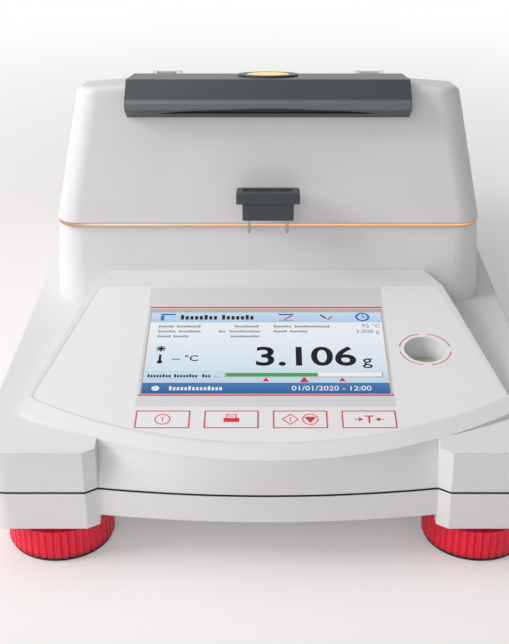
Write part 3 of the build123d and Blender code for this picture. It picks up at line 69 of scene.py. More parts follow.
class Wire:
    """One value socket of a material, on which Python's operators add Math nodes."""

    def __init__(self, graph: Graph, socket: bpy.types.NodeSocket) -> None:
        """Hold the socket and the graph that it belongs to."""
        self.graph = graph
        self.socket = socket

    def _math(self, operation: str, *terms: Any) -> Wire:
        """Add one Math node on numbers or wires and give its result."""
        inputs = dict(enumerate(terms))
        return self.graph.add("ShaderNodeMath", {"operation": operation}, inputs)["Value"]

    def __add__(self, other: Any) -> Wire:
        """Add."""
        return self._math("ADD", self, other)

    __radd__ = __add__

    def __mul__(self, other: Any) -> Wire:
        """Multiply."""
        return self._math("MULTIPLY", self, other)

    __rmul__ = __mul__

    def __sub__(self, other: Any) -> Wire:
        """Subtract the other term."""
        return self._math("SUBTRACT", self, other)

    def __rsub__(self, other: Any) -> Wire:
        """Subtract this wire from the other term."""
        return self._math("SUBTRACT", other, self)

    def __pow__(self, other: Any) -> Wire:
        """Raise to a power."""
        return self._math("POWER", self, other)

    def __gt__(self, other: Any) -> Wire:
        """Give 1 where this wire is greater."""
        return self._math("GREATER_THAN", self, other)

    def __lt__(self, other: Any) -> Wire:
        """Give 1 where this wire is less."""
        return self._math("LESS_THAN", self, other)

    def __abs__(self) -> Wire:
        """Drop the sign."""
        return self._math("ABSOLUTE", self)

    def sine(self) -> Wire:
        """Give the sine."""
        return self._math("SINE", self)

    def reach(self, other: Wire) -> Wire:
        """Give the distance from an axis that this wire and the other are the offsets from."""
        return (self * self + other * other) ** 0.5

    def ramp(self, low: float, high: float) -> Wire:
        """Rise smoothly from 0 at low to 1 at high."""
        inputs = {"Value": self, "From Min": low, "From Max": high}
        return self.graph.add("ShaderNodeMapRange", SMOOTH, inputs)["Result"]


class Node:
    """A node whose outputs are read by name as wires."""

    def __init__(self, graph: Graph, node: bpy.types.Node) -> None:
        """Hold the node and its graph."""
        self.graph = graph
        self.node = node

    def __getitem__(self, name: str) -> Wire:
        """Give the first enabled output of that name."""
        found = [s for s in self.node.outputs if s.name == name and s.enabled]
        return Wire(self.graph, found[0])


class Graph:
    """The node tree of one material."""

    def __init__(self, name: str) -> None:
        """Make a material that holds only its object's own coordinates, in metres.

        Args:
            name: The material's name.
        """
        self.material = bpy.data.materials.new(name)
        self.material.use_nodes = True
        self.tree = self.material.node_tree
        self.tree.nodes.clear()
        self.at = self.add("ShaderNodeTexCoord")["Object"]
        axes = self.add("ShaderNodeSeparateXYZ", None, {"Vector": self.at})
        self.x, self.y, self.z = axes["X"], axes["Y"], axes["Z"]

    def add(self, kind: str, settings: dict[str, Any] | None = None,
            inputs: dict[Any, Any] | None = None) -> Node:
        """Add a node of any type.

        Args:
            kind: Blender's name for the node's type.
            settings: Its own settings, set first.
            inputs: Values or wires for its sockets, by name or number.

        Returns:
            The new node.
        """
        node = self.tree.nodes.new(kind)
        for key, value in (settings or {}).items():
            setattr(node, key, value)
        for key, value in (inputs or {}).items():
            socket = node.inputs[key]
            if isinstance(key, str) and not socket.enabled:
                socket = next(s for s in node.inputs if s.name == key and s.enabled)
            if isinstance(value, Wire):
                self.tree.links.new(value.socket, socket)
            else:
                socket.default_value = value
        return Node(self, node)

    def noise(self, at: Wire, per_metre: float, detail: float = 2.0,
              stretch: Triple = (1, 1, 1)) -> Wire:
        """Give a noise value.

        Args:
            at: The coordinates.
            per_metre: How many grains lie in a metre.
            detail: The noise's octaves.
            stretch: The scale along each axis.

        Returns:
            The noise, around 0.5.
        """
        if stretch != (1, 1, 1):
            moved = {"Vector": at, "Scale": stretch}
            at = self.add("ShaderNodeMapping", {"vector_type": "POINT"}, moved)["Vector"]
        inputs = {"Vector": at, "Scale": per_metre, "Detail": detail}
        return self.add("ShaderNodeTexNoise", None, inputs)["Fac"]

    def mix(self, share: Any, first: Any, second: Any) -> Wire:
        """Mix two colours by a share from 0 to 1."""
        inputs = {"Factor": share, "A": first, "B": second}
        return self.add("ShaderNodeMix", {"data_type": "RGBA"}, inputs)["Result"]

    def bump(self, height: Wire, depth: float, strength: float, edge: float = 0.0) -> Wire:
        """Give the normal of a surface with that height.

        Args:
            height: The height, 0 to 1.
            depth: The distance in metres that 1 stands for.
            strength: The share of the effect.
            edge: The radius in metres that rounds the mesh's sharp edges, if any.

        Returns:
            The bent normal.
        """
        inputs: dict[str, Any] = {"Height": height, "Distance": depth, "Strength": strength}
        if edge:
            soft = self.add("ShaderNodeBevel", {"samples": 4}, {"Radius": edge})
            inputs["Normal"] = soft["Normal"]
        return self.add("ShaderNodeBump", None, inputs)["Normal"]

    def close(self, **inputs: Any) -> None:
        """Finish with a Principled shader.

        Args:
            inputs: Values or wires for its sockets, by their names in lower case.
        """
        named = {
            key.replace("_", " ").title().replace("Ior", "IOR"): value
            for key, value in inputs.items()
        }
        shader = self.add("ShaderNodeBsdfPrincipled", None, named)
        self.add("ShaderNodeOutputMaterial", None, {"Surface": shader["BSDF"]})


class Skin(Graph):
    """The node tree of a moulding, with its flow clouds and its fine grain."""

    def __init__(self, name: str, grain: float) -> None:
        """Add the textures that every moulding has.

        Args:
            name: The material's name.
            grain: How many grains lie in a metre.
        """
        super().__init__(name)
        self.cloud = self.noise(self.at, 14.0, 3.0)
        self.grain = self.noise(self.at, grain)


@dataclass(frozen=True)
class Finish:
    """What every finish has: a name for its material and a slot name."""

    name: str
    slot: str

    def build(self) -> None:
        """Make the material; each kind of finish has its own."""
        raise NotImplementedError

    def material(self) -> bpy.types.Material:
        """Give the material, made once.

        Returns:
            The material.
        """
        if self.name not in bpy.data.materials:
            self.build()
        return bpy.data.materials[self.name]


@dataclass(frozen=True)
class Moulding(Finish):
    """Injection-moulded plastic: fine spark-eroded grain, flow clouds, softly rounded edges."""

    colour: Colour
    worn: Colour
    roughness: float = 0.45
    grain: float = 4200.0
    depth: float = 0.00003
    edge: float = 0.0007
    coat: float = 0.0

    def build(self) -> None:
        """Make the grained plastic."""
        g = Skin(self.name, self.grain)
        colour, rougher = self.tone(g)
        g.close(
            base_color=colour,
            roughness=self.roughness + rougher + (g.grain - 0.5) * 0.1,
            normal=g.bump(g.grain, self.depth, 0.6, self.edge),
            coat_weight=self.coat,
            coat_roughness=0.2,
        )

    def tone(self, g: Skin) -> tuple[Wire, Wire]:
        """Speckle the plastic faintly.

        Args:
            g: The material's graph.

        Returns:
            The colour, and what is added to the roughness.
        """
        specks = g.noise(g.at, 900.0, 1.0).ramp(0.62, 0.75)
        share = g.cloud.ramp(0.35, 0.7) * 0.5 + specks * 0.12
        return g.mix(share, self.colour, self.worn), (g.cloud - 0.5) * 0.12


@dataclass(frozen=True)
class CaseMoulding(Moulding):
    """Moulded plastic whose parting line holds dust and shade."""

    seam_z: float = 0.0312
    seam_half: float = 0.00042
    seam_shade: Colour = paint(58, 58, 54)

    def tone(self, g: Skin) -> tuple[Wire, Wire]:
        """Darken the plastic along its parting line.

        Args:
            g: The material's graph.

        Returns:
            The colour, and what is added to the roughness.
        """
        seam = (abs(g.z - self.seam_z) < self.seam_half) * (0.9 + g.grain * 0.1)
        shell = g.mix(g.cloud.ramp(0.35, 0.7) * 0.5, self.colour, self.worn)
        return g.mix(seam, shell, self.seam_shade), (g.cloud - 0.5) * 0.12


@dataclass(frozen=True)
class GripMoulding(Moulding):
    """Slate plastic with a painted highlight: a paler band between two heights that stands for
    light caught by the grip's bevel.
    """

    # colour of the painted highlight on the grip's bevel
    painted_highlight: Colour = (0.13, 0.15, 0.165, 1.0)
    low: float = 0.1404
    high: float = 0.1441
    behind: float = -0.03

    def tone(self, g: Skin) -> tuple[Wire, Wire]:
        """Lay the painted highlight band over the plastic.

        Args:
            g: The material's graph.

        Returns:
            The colour, and what is added to the roughness.
        """
        # painted highlight: a paler band between low and high, in front of behind, where the bevel
        # catches light
        band = g.z.ramp(self.low - 0.0002, self.low + 0.0002)
        band = band * (1.0 - g.z.ramp(self.high - 0.0004, self.high + 0.0003))
        band = band * (g.y < self.behind)
        slate = g.mix(g.cloud.ramp(0.35, 0.7) * 0.5, self.colour, self.worn)
        return g.mix(band * (0.75 + g.cloud * 0.3), slate, self.painted_highlight), band * -0.12


@dataclass(frozen=True)
class WheelRed(Finish):
    """Satin red plastic with painted shade between its flutes and a painted contact shadow
    darkening its foot ring.
    """

    colour: Colour
    # colour of the painted shade between the flutes and of the painted contact shadow
    shade_colour: Colour
    centre: Point
    radius: float
    ribs: int
    rim: Point = (0.0016, 0.0004)
    ring: Point = (0.0018, 0.0034)

    def build(self) -> None:
        """Make the ribbed red from the angle about the nearer wheel's axis."""
        g = Graph(self.name)
        side, front = self.centre
        across = g.x - ((g.x > 0.0) * (side * 2) - side)
        along = g.y - front
        angle = g.add("ShaderNodeMath", {"operation": "ARCTAN2"}, {0: along, 1: across})["Value"]
        # painted shade: darker between the flutes near the rim
        rib = (angle * float(self.ribs)).sine() * 0.5 + 0.5
        rim = across.reach(along).ramp(self.radius - self.rim[0], self.radius - self.rim[1])
        # painted contact shadow: darker towards the wheel's bottom, between the ring heights
        low = 1.0 - g.z.ramp(*self.ring)
        shade = rib.ramp(0.1, 0.75) * rim * 0.55 + low * 0.7 * rim
        scuff = g.noise(g.at, 260.0, 3.0, (1, 1, 0.3))
        g.close(
            base_color=g.mix(shade, self.colour, self.shade_colour),
            roughness=0.34 + scuff * 0.16,
            normal=g.bump(g.noise(g.at, 3000.0), 0.00002, 0.5, 0.0006),
        )


@dataclass(frozen=True)
class Film(Finish):
    """Printed polyester film: a fine matt emboss, with one paler or darker printed field."""

    colour: Colour
    field_colour: Colour
    left: float = 0.0
    right: float = 0.0
    front: float = 0.0
    rear: float = 0.0

    def build(self) -> None:
        """Make the film with its printed field between four edges."""
        g = Graph(self.name)
        beside = (g.x > self.left) * (g.x < self.right)
        inside = beside * (g.y > self.front) * (g.y < self.rear)
        grain = g.noise(g.at, 5200.0, 1.5)
        cloud = g.noise(g.at, 20.0)
        tone = g.mix(cloud * 0.12, self.colour, self.field_colour)
        g.close(
            base_color=g.mix(inside, tone, self.field_colour),
            roughness=0.42 + (grain - 0.5) * 0.18,
            normal=g.bump(grain, 0.00001, 0.45),
        )


@dataclass(frozen=True)
class Metal(Finish):
    """Bare metal: brushed along an axis, or turned about an upright one."""

    colour: Colour
    roughness: float
    stretch: Triple = (1, 1, 1)
    turned_about: Point | None = None
    spot: float = 0.1

    def build(self) -> None:
        """Make the metal with its tool marks."""
        g = Graph(self.name)
        if self.turned_about is None:
            marks = g.noise(g.at, 900.0, 4.0, self.stretch)
        else:
            x, y = self.turned_about
            reach = (g.x - x).reach(g.y - y)
            rings = g.add("ShaderNodeCombineXYZ", None, {"X": reach, "Z": g.z})["Vector"]
            marks = g.noise(rings, 2600.0, 4.0)
        stain = g.noise(g.at, 45.0, 3.0).ramp(0.45, 0.8)
        dark = scaled(self.colour, 0.72)
        g.close(
            base_color=g.mix(stain * self.spot + marks * 0.12, self.colour, dark),
            metallic=1.0,
            roughness=self.roughness + (marks - 0.5) * 0.16 + stain * 0.06,
            normal=g.bump(marks, 0.00002, 0.35, 0.0004),
        )


@dataclass(frozen=True)
class Clear(Finish):
    """Glass, clear plastic or trapped air, with a tint and faint wipe marks."""

    tint: Colour
    index: float = 1.5
    roughness: float = 0.02

    def build(self) -> None:
        """Make the clear body."""
        g = Graph(self.name)
        wipe = g.noise(g.at, 120.0, 3.0, (1, 0.25, 1)).ramp(0.5, 0.9)
        g.close(
            base_color=self.tint,
            roughness=self.roughness + wipe * 0.03,
            ior=self.index,
            transmission_weight=1.0,
        )


@dataclass(frozen=True)
class Rubber(Finish):
    """Black rubber with a dusty bloom."""

    colour: Colour
    bloom: Colour

    def build(self) -> None:
        """Make the rubber."""
        g = Graph(self.name)
        dust = g.noise(g.at, 240.0, 4.0).ramp(0.4, 0.85)
        g.close(
            base_color=g.mix(dust * 0.5, self.colour, self.bloom),
            roughness=0.72 + dust * 0.15,
            normal=g.bump(g.noise(g.at, 3400.0), 0.00004, 0.6, 0.0005),
        )


@dataclass(frozen=True)
class Laminate(Finish):
    """Circuit board: solder mask over a faint weave, with copper runs showing through."""

    colour: Colour
    run: Colour
    threads: float = 5200.0
    cells: float = 90.0

    def build(self) -> None:
        """Make the board's mask."""
        g = Graph(self.name)
        weave = (g.x * self.threads).sine() * (g.y * self.threads).sine() * 0.5 + 0.5
        inputs = {"Vector": g.at, "Scale": self.cells, "Mortar Size": 0.06}
        runs = g.add("ShaderNodeTexBrick", {"offset": 0.5}, inputs)["Fac"]
        g.close(
            base_color=g.mix(runs * 0.6 + weave * 0.06, self.colour, self.run),
            roughness=0.28 + weave * 0.08,
            normal=g.bump(runs, 0.00004, 0.5),
        )


@dataclass(frozen=True)
class Ink(Finish):
    """A screen-printed ink that lies slightly proud of its film."""

    colour: Colour

    def build(self) -> None:
        """Make the ink with a little unevenness."""
        g = Graph(self.name)
        patch = g.noise(g.at, 1500.0)
        thin = scaled(self.colour, 1.12, 0.01)
        g.close(
            base_color=g.mix(patch * 0.4, self.colour, thin),
            roughness=0.36 + patch * 0.1,
            normal=g.bump(patch, 0.000008, 0.4),
        )


@dataclass(frozen=True)
class Lit(Finish):
    """A lit area of the display: its colour shines, with the faint lines of its dots."""

    colour: Colour
    edge: Colour
    near_y: float = 0.0
    far_y: float = 0.0
    power: float = 0.9
    dots: float = 24000.0

    def build(self) -> None:
        """Make the lit area; it shades from its colour to its edge colour along Y."""
        g = Graph(self.name)
        dots = (g.x * self.dots).sine() * 0.02 + 0.98
        share = g.y.ramp(self.near_y, self.far_y) if self.far_y > self.near_y else 0.0
        shine = {0: g.mix(share, self.colour, self.edge), "Scale": dots}
        g.close(
            base_color=(0.01, 0.01, 0.012, 1.0),
            roughness=0.16 + g.noise(g.at, 160.0) * 0.08,
            emission_color=g.add("ShaderNodeVectorMath", {"operation": "SCALE"}, shine)["Vector"],
            emission_strength=self.power,
            specular_ior_level=0.12,
        )


@dataclass(frozen=True)
class HeatGlow(Finish):
    """A painted glow for the lamp's light, in the seam under the lid or in its window: an emissive
    surface, not a lamp, paler at one end.
    """

    hot: Colour
    pale: Colour
    power: float
    low: float = 0.0
    high: float = 0.0
    pale_x: Point = (-0.085, 0.02)
    middle_x: float = 0.004
    fade_x: Point = (0.076, 0.09)
    dim: Colour = (0.13, 0.07, 0.045, 1.0)

    def build(self) -> None:
        """Make the glow, which varies slowly along the seam and fades to a painted dim shade at its
        two lips and towards its ends.
        """
        g = Graph(self.name)
        drift = g.noise(g.at, 16.0)
        share = (1.0 - g.x.ramp(*self.pale_x)) * 0.65 + (drift - 0.5) * 0.5
        light = g.mix(share, self.hot, self.pale)
        if self.high > self.low:
            middle, reach = (self.low + self.high) / 2, (self.high - self.low) / 2
            lip = abs(g.z - middle).ramp(reach * 0.1, reach * 0.85)
            end = abs(g.x - self.middle_x).ramp(*self.fade_x)
            # painted shade: the glow dims to the dim colour at the seam's lips and towards its ends
            light = g.mix(1.0 - (1.0 - lip * 0.85) * (1.0 - end * 0.75), light, self.dim)
        g.close(
            base_color=(0.3, 0.14, 0.06, 1.0),
            roughness=0.6 + drift * 0.1,
            emission_color=light,
            emission_strength=self.power,
        )


def lit(word: str, colour: Colour, edge: Colour | None = None, near_y: float = 0.0,
        far_y: float = 0.0) -> Lit:
    """Name a lit finish of the display, which shades to its edge colour if it has one."""
    return Lit(f"display_{word}", "display", colour, edge or colour, near_y, far_y)


# The upright axis of the chamber's round parts, and the look that both slate plastics share.
CHAMBER_AXIS = (0.0, 0.02)
SLATE_LOOK = (paint(60, 66, 73), paint(72, 78, 85), 0.42, 3800.0, 0.00004, 0.0006)

CASE_WHITE = CaseMoulding(
    "casing_moulding", "casing", paint(226, 225, 227), paint(216, 214, 216), 0.46,
)
LID_WHITE = Moulding("lid_moulding", "casing", paint(220, 218, 219), paint(208, 205, 206), 0.5)
SLATE = Moulding("slate_moulding", "dark_plastic", *SLATE_LOOK)
HANDLE_SLATE = GripMoulding("handle_moulding", "dark_plastic", *SLATE_LOOK)
BLACK = Moulding(
    "socket_moulding", "dark_plastic", paint(32, 33, 36), paint(48, 49, 52),
    roughness=0.42, grain=4000.0, depth=0.00003, edge=0.0003,
)
RED = WheelRed(
    "wheel_red", "red_plastic", paint(246, 14, 58), paint(204, 8, 46),
    centre=(0.0798, -0.1464), radius=0.0202, ribs=44,
)
OVERLAY = Film(
    "overlay_film", "overlay", paint(232, 231, 233), paint(214, 213, 217),
    left=-0.0499, right=0.0481, front=-0.1409, rear=-0.0625,
)
KEY_FILM = Film("key_film", "key_film", paint(236, 235, 236), paint(226, 225, 227))
STEEL = Metal("plain_steel", "steel", paint(186, 187, 190), 0.32, (1, 1, 8))
ALLOY = Metal("milled_alloy", "aluminium", paint(206, 207, 210), 0.34, (0.2, 6, 1))
SHEET = Metal(
    "pressed_sheet", "sheet_metal", paint(198, 198, 199), 0.3, turned_about=CHAMBER_AXIS,
)
PAN = Metal(
    "foil_pan", "pan_metal", paint(214, 215, 217), 0.26, turned_about=CHAMBER_AXIS, spot=0.2,
)
MIRROR = Metal("spun_mirror", "mirror", paint(228, 222, 206), 0.12, turned_about=CHAMBER_AXIS)
WINDOW = Clear("tinted_window", "window_glass", paint(222, 214, 150))
GUARD = Clear("guard_sheet", "guard_glass", paint(240, 240, 236))
TOUCH = Clear("touch_sheet", "glass", paint(236, 242, 246))
TUBE = Clear("lamp_tube", "lamp_glass", paint(255, 226, 180))
AIR = Clear("bubble_air", "vial", paint(244, 250, 226), 1.05)
VIAL = Moulding(
    "vial_fluid", "vial", paint(158, 164, 136), paint(176, 182, 150),
    roughness=0.16, grain=600.0, depth=0.00001, edge=0.0005, coat=1.0,
)
RUBBER = Rubber("foot_rubber", "rubber", paint(30, 30, 31), paint(70, 69, 68))
BOARD = Laminate("board_mask", "board", paint(22, 92, 48), paint(66, 132, 66))
CERAMIC = Moulding("lamp_ceramic", "ceramic", paint(222, 217, 206), paint(206, 200, 188), 0.6)
RED_INK = Ink("red_ink", "overlay", paint(222, 30, 52))
TAN_INK = Ink("tan_ink", "overlay", paint(196, 172, 158))
BLACK_INK = Ink("black_ink", "overlay", paint(24, 24, 26))
# painted glows: emissive stand-ins for the lamp's light in the lid's seam and window
GLOW = HeatGlow(
    "painted_seam_glow", "lamp_glass", paint(252, 186, 130), paint(252, 232, 216), 1.0, 0.0884, 0.09005,
)
WINDOW_LIGHT = HeatGlow(
    "window_light", "window_glass", paint(238, 228, 158), paint(226, 214, 146), 0.85,
)
LIT_FIELD = lit("field", paint(214, 232, 247), paint(240, 246, 250), -0.128, -0.092)
LIT_HEADER = lit("header", paint(184, 214, 240), paint(206, 228, 246), -0.087, -0.08)
LIT_FOOTER = lit("footer", paint(52, 104, 164), paint(74, 126, 182), -0.133, -0.126)
LIT_STRIP = lit("strip", paint(196, 218, 238), paint(208, 226, 242), -0.13, -0.12)
LIT_BLACK = lit("black", paint(18, 20, 26))
LIT_GREY = lit("grey", paint(112, 122, 138))
LIT_WHITE = lit("white", paint(238, 244, 250))
LIT_TRACK = lit("track", paint(246, 249, 252))
LIT_GREEN = lit("green", paint(74, 168, 92), paint(96, 186, 110))
LIT_PINK = lit("markers", paint(214, 44, 74))
LIT_BLUE = lit("blue", paint(38, 118, 196))


def make_piece(name: str, mesh: bpy.types.Mesh, finish: Finish, body: str) -> bpy.types.Object:
    """Put a mesh in the scene as a piece that rides on a body.

    Args:
        name: The piece's name.
        mesh: Its mesh, in the row frame.
        finish: Its finish.
        body: The CAD body that carries it.

    Returns:
        The new object.
    """
    piece = bpy.data.objects.new(name, mesh)
    bpy.context.scene.collection.objects.link(piece)
    piece.data.materials.clear()
    piece.data.materials.append(finish.material())
    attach(piece, body)
    LOG.info("piece %s on %s: %d faces", name, body, len(mesh.polygons))
    return piece


@dataclass(frozen=True)
class Plane:
    """A flat working plane: an origin in millimetres and a tilt about X in degrees."""

    origin: Triple
    tilt: float = 0.0

    def matrix(self) -> Matrix:
        """Give the transform from the plane's millimetres to the row frame's metres."""
        turn = Matrix.Rotation(math.radians(self.tilt), 4, "X")
        return Matrix.Translation(Vector(self.origin) * MM) @ turn @ Matrix.Scale(MM, 4)


def circle(steps: int) -> list[Point]:
    """Give the corners of a polygon that stands in for the unit circle."""
    turns = [2 * math.pi * i / steps for i in range(steps)]
    return [(math.cos(turn), math.sin(turn)) for turn in turns]


class Stencil:
    """A thin printed or lit layer, drawn as flat shapes in millimetres on a plane."""

    def __init__(self, plane: Plane, lift: float, thick: float = 0.02) -> None:
        """Start an empty layer.

        Args:
            plane: The plane that it lies on.
            lift: The height of its underside over the plane, in millimetres.
            thick: Its thickness in millimetres.
        """
        self.plane = plane
        self.lift = lift
        self.thick = thick
        self.mesh = bmesh.new()

    def fill(self, points: Iterable[Point]) -> Stencil:
        """Add one filled outline.

        Args:
            points: The outline's corners.

        Returns:
            The stencil.
        """
        points = list(points)
        low = [self.mesh.verts.new((x, y, self.lift)) for x, y in points]
        high = [self.mesh.verts.new((x, y, self.lift + self.thick)) for x, y in points]
        self.mesh.faces.new(high)
        self.mesh.faces.new(list(reversed(low)))
        for i, start in enumerate(low):
            j = (i + 1) % len(low)
            self.mesh.faces.new((start, low[j], high[j], high[i]))
        return self

    def bar(self, left: float, front: float, right: float, rear: float) -> Stencil:
        """Add a rectangle between two corners, whichever of them is further left."""
        left, right = sorted((left, right))
        return self.fill([(left, front), (right, front), (right, rear), (left, rear)])

    def stroke(self, points: Sequence[Point], width: float, closed: bool = False) -> Stencil:
        """Add a line of even width with mitred corners.

        Args:
            points: The line's corners.
            width: Its width.
            closed: Whether it runs back to its start.

        Returns:
            The stencil.
        """
        sharpest = 0.3
        count = len(points)
        sides: list[tuple[Point, Point]] = []
        for i, here in enumerate(points):
            runs = []
            if i or closed:
                runs.append((Vector(here) - Vector(points[i - 1])).normalized())
            if i < count - 1 or closed:
                runs.append((Vector(points[(i + 1) % count]) - Vector(here)).normalized())
            along = sum(runs, Vector((0, 0))).normalized()
            across = Vector((-along.y, along.x))
            square = Vector((-runs[0].y, runs[0].x))
            reach = width / 2 / max(sharpest, across.dot(square))
            left, right = Vector(here) + across * reach, Vector(here) - across * reach
            sides.append(((left.x, left.y), (right.x, right.y)))
        pairs = list(zip(sides, sides[1:])) + ([(sides[-1], sides[0])] if closed else [])
        for (left_a, right_a), (left_b, right_b) in pairs:
            self.fill([right_a, right_b, left_b, left_a])
        return self

    def arc(self, centre: Point, radius: float, width: float, start: float = 0.0,
            end: float = 360.0) -> Stencil:
        """Add a ring or a part of one.

        Args:
            centre: Its centre.
            radius: The radius of its middle line.
            width: Its width.
            start: The angle where it starts, in degrees.
            end: The angle where it ends.

        Returns:
            The stencil.
        """
        degrees_a_step = 6
        steps = max(3, round(abs(end - start) / degrees_a_step))
        turns = [math.radians(start + (end - start) * i / steps) for i in range(steps + 1)]
        x, y = centre
        return self.stroke(
            [(x + radius * math.cos(turn), y + radius * math.sin(turn)) for turn in turns], width,
        )

    def disc(self, centre: Point, radius: float, steps: int = 28) -> Stencil:
        """Add a filled circle."""
        return self.fill((centre[0] + radius * x, centre[1] + radius * y) for x, y in circle(steps))

    def figures(self, text: str, left: float, foot: float, size: float, weight: float = 0.0,
                stretch: float = 1.0) -> Stencil:
        """Add numbers or a unit.

        Args:
            text: The figures.
            left: Where they start.
            foot: Their base line.
            size: The font's size in millimetres.
            weight: How much each stroke is thickened, in millimetres.
            stretch: The share by which they are widened.

        Returns:
            The stencil.
        """
        curve = bpy.data.curves.new("figures", "FONT")
        curve.body = text
        curve.size = size
        curve.offset = weight
        curve.resolution_u = 4
        holder = bpy.data.objects.new("figures", curve)
        flat = bpy.data.meshes.new_from_object(holder)
        start = Matrix.Translation((left, foot, self.lift + self.thick))
        flat.transform(start @ Matrix.Diagonal((stretch, 1, 1, 1)))
        self.mesh.from_mesh(flat)
        bpy.data.objects.remove(holder)
        bpy.data.curves.remove(curve)
        bpy.data.meshes.remove(flat)
        return self

    def piece(self, name: str, finish: Finish, body: str = "base") -> bpy.types.Object:
        """Close the layer and put it in the scene.

        Args:
            name: The piece's name.
            finish: Its finish.
            body: The CAD body that carries it.

        Returns:
            The new object.
        """
        self.mesh.transform(self.plane.matrix())
        bmesh.ops.recalc_face_normals(self.mesh, faces=self.mesh.faces)
        mesh = bpy.data.meshes.new(name)
        self.mesh.to_mesh(mesh)
        self.mesh.free()
        return make_piece(name, mesh, finish, body)


def loft(name: str, rings: Sequence[Sequence[Vector]]) -> bpy.types.Mesh:
    """Skin a row of rings that have the same number of points, and close both ends.

    Args:
        name: The mesh's name.
        rings: The rings, in metres.

    Returns:
        The mesh.
    """
    work = bmesh.new()
    rows = [[work.verts.new(point) for point in ring] for ring in rings]
    for low, high in zip(rows, rows[1:]):
        for i in range(len(low)):
            j = (i + 1) % len(low)
            work.faces.new((low[i], low[j], high[j], high[i]))
    work.faces.new(list(reversed(rows[0])))
    work.faces.new(rows[-1])
    bmesh.ops.recalc_face_normals(work, faces=work.faces)
    mesh = bpy.data.meshes.new(name)
    work.to_mesh(mesh)
    work.free()
    return mesh


def turned(name: str, plane: Plane, profile: Iterable[Point], steps: int) -> bpy.types.Mesh:
    """Turn a profile about the upright axis of a plane.

    Args:
        name: The mesh's name.
        plane: The plane, whose origin lies on the axis.
        profile: Radii and heights in millimetres.
        steps: The corners of each ring.

    Returns:
        The mesh.
    """
    place = plane.matrix()
    rings = [
        [place @ Vector((radius * x, radius * y, height)) for x, y in circle(steps)]
        for radius, height in profile
    ]
    return loft(name, rings)


def rounded_path(corners: Sequence[Point], radius: float, steps: int = 6) -> list[Point]:
    """Round the inner corners of an open path.

    Args:
        corners: The path's corners.
        radius: The radius of its rounds.
        steps: How many points a round gets.

    Returns:
        The points of the rounded path.
    """
    path = [corners[0]]
    for before, here, after in zip(corners, corners[1:], corners[2:]):
        at = Vector(here)
        back = (Vector(before) - at).normalized() * radius
        ahead = (Vector(after) - at).normalized() * radius
        for i in range(steps + 1):
            t = i / steps
            point = at + back * (1 - t) ** 2 + ahead * t**2
            path.append((point.x, point.y))
    path.append(corners[-1])
    return path


# The control panel's surface, and the middle of its display and key row.
DECK = Plane((0.0, -51.0, 67.6), 9.7)
SCREEN_X = -0.8


@dataclass
class Assembly:
    """A sub-assembly: CAD nodes that take finishes, and the pieces that the scene adds."""

    nodes: dict[str, bpy.types.Object]
    looks: ClassVar[dict[Finish, tuple[str, ...]]] = {}

    def build(self) -> None:
        """Give the nodes their finishes and add the pieces."""
        for finish, names in self.looks.items():
            for name in names:
                self.dress(self.nodes[name], finish.material())
                LOG.info("node %s takes %s", name, finish.name)
        self.add_pieces()

    @staticmethod
    def dress(node: bpy.types.Object, material: bpy.types.Material) -> None:
        """Give a CAD node a material.

        Args:
            node: The node.
            material: The material.
        """
        if node.material_slots:
            for holder in node.material_slots:
                holder.material = material
        else:
            node.data.materials.append(material)

    def add_pieces(self) -> None:
        """Add nothing; a sub-assembly with pieces of its own has its own method."""


class Case(Assembly):
    """The two case mouldings, their fasteners, rear sockets and boards."""

    looks = {
        CASE_WHITE: ("upper_case", "lower_case"),
        STEEL: ("case_screws", "rear_plate", "usb_device_port", "usb_host_port", "serial_port"),
        RUBBER: ("rear_feet", "lid_buffers"),
        BLACK: ("power_inlet", "fuse_holder", "fuse_drawer"),
        BOARD: ("main_board", "power_supply", "keypad_board"),
        ALLOY: ("load_cell", "cell_block"),
    }


class Feet(Assembly):
    """The two levelling feet: red wheels over rubber pads."""

    looks = {
        RED: ("left_foot_wheel", "right_foot_wheel"),
        STEEL: ("left_foot_screw", "right_foot_screw"),
        RUBBER: ("left_foot_pad", "right_foot_pad"),
    }


class KeyMark(Enum):
    """The generic mark on each key."""

    POWER = "key_power"
    PRINT = "key_print"
    START_STOP = "key_start_stop"
    TARE = "key_tare"


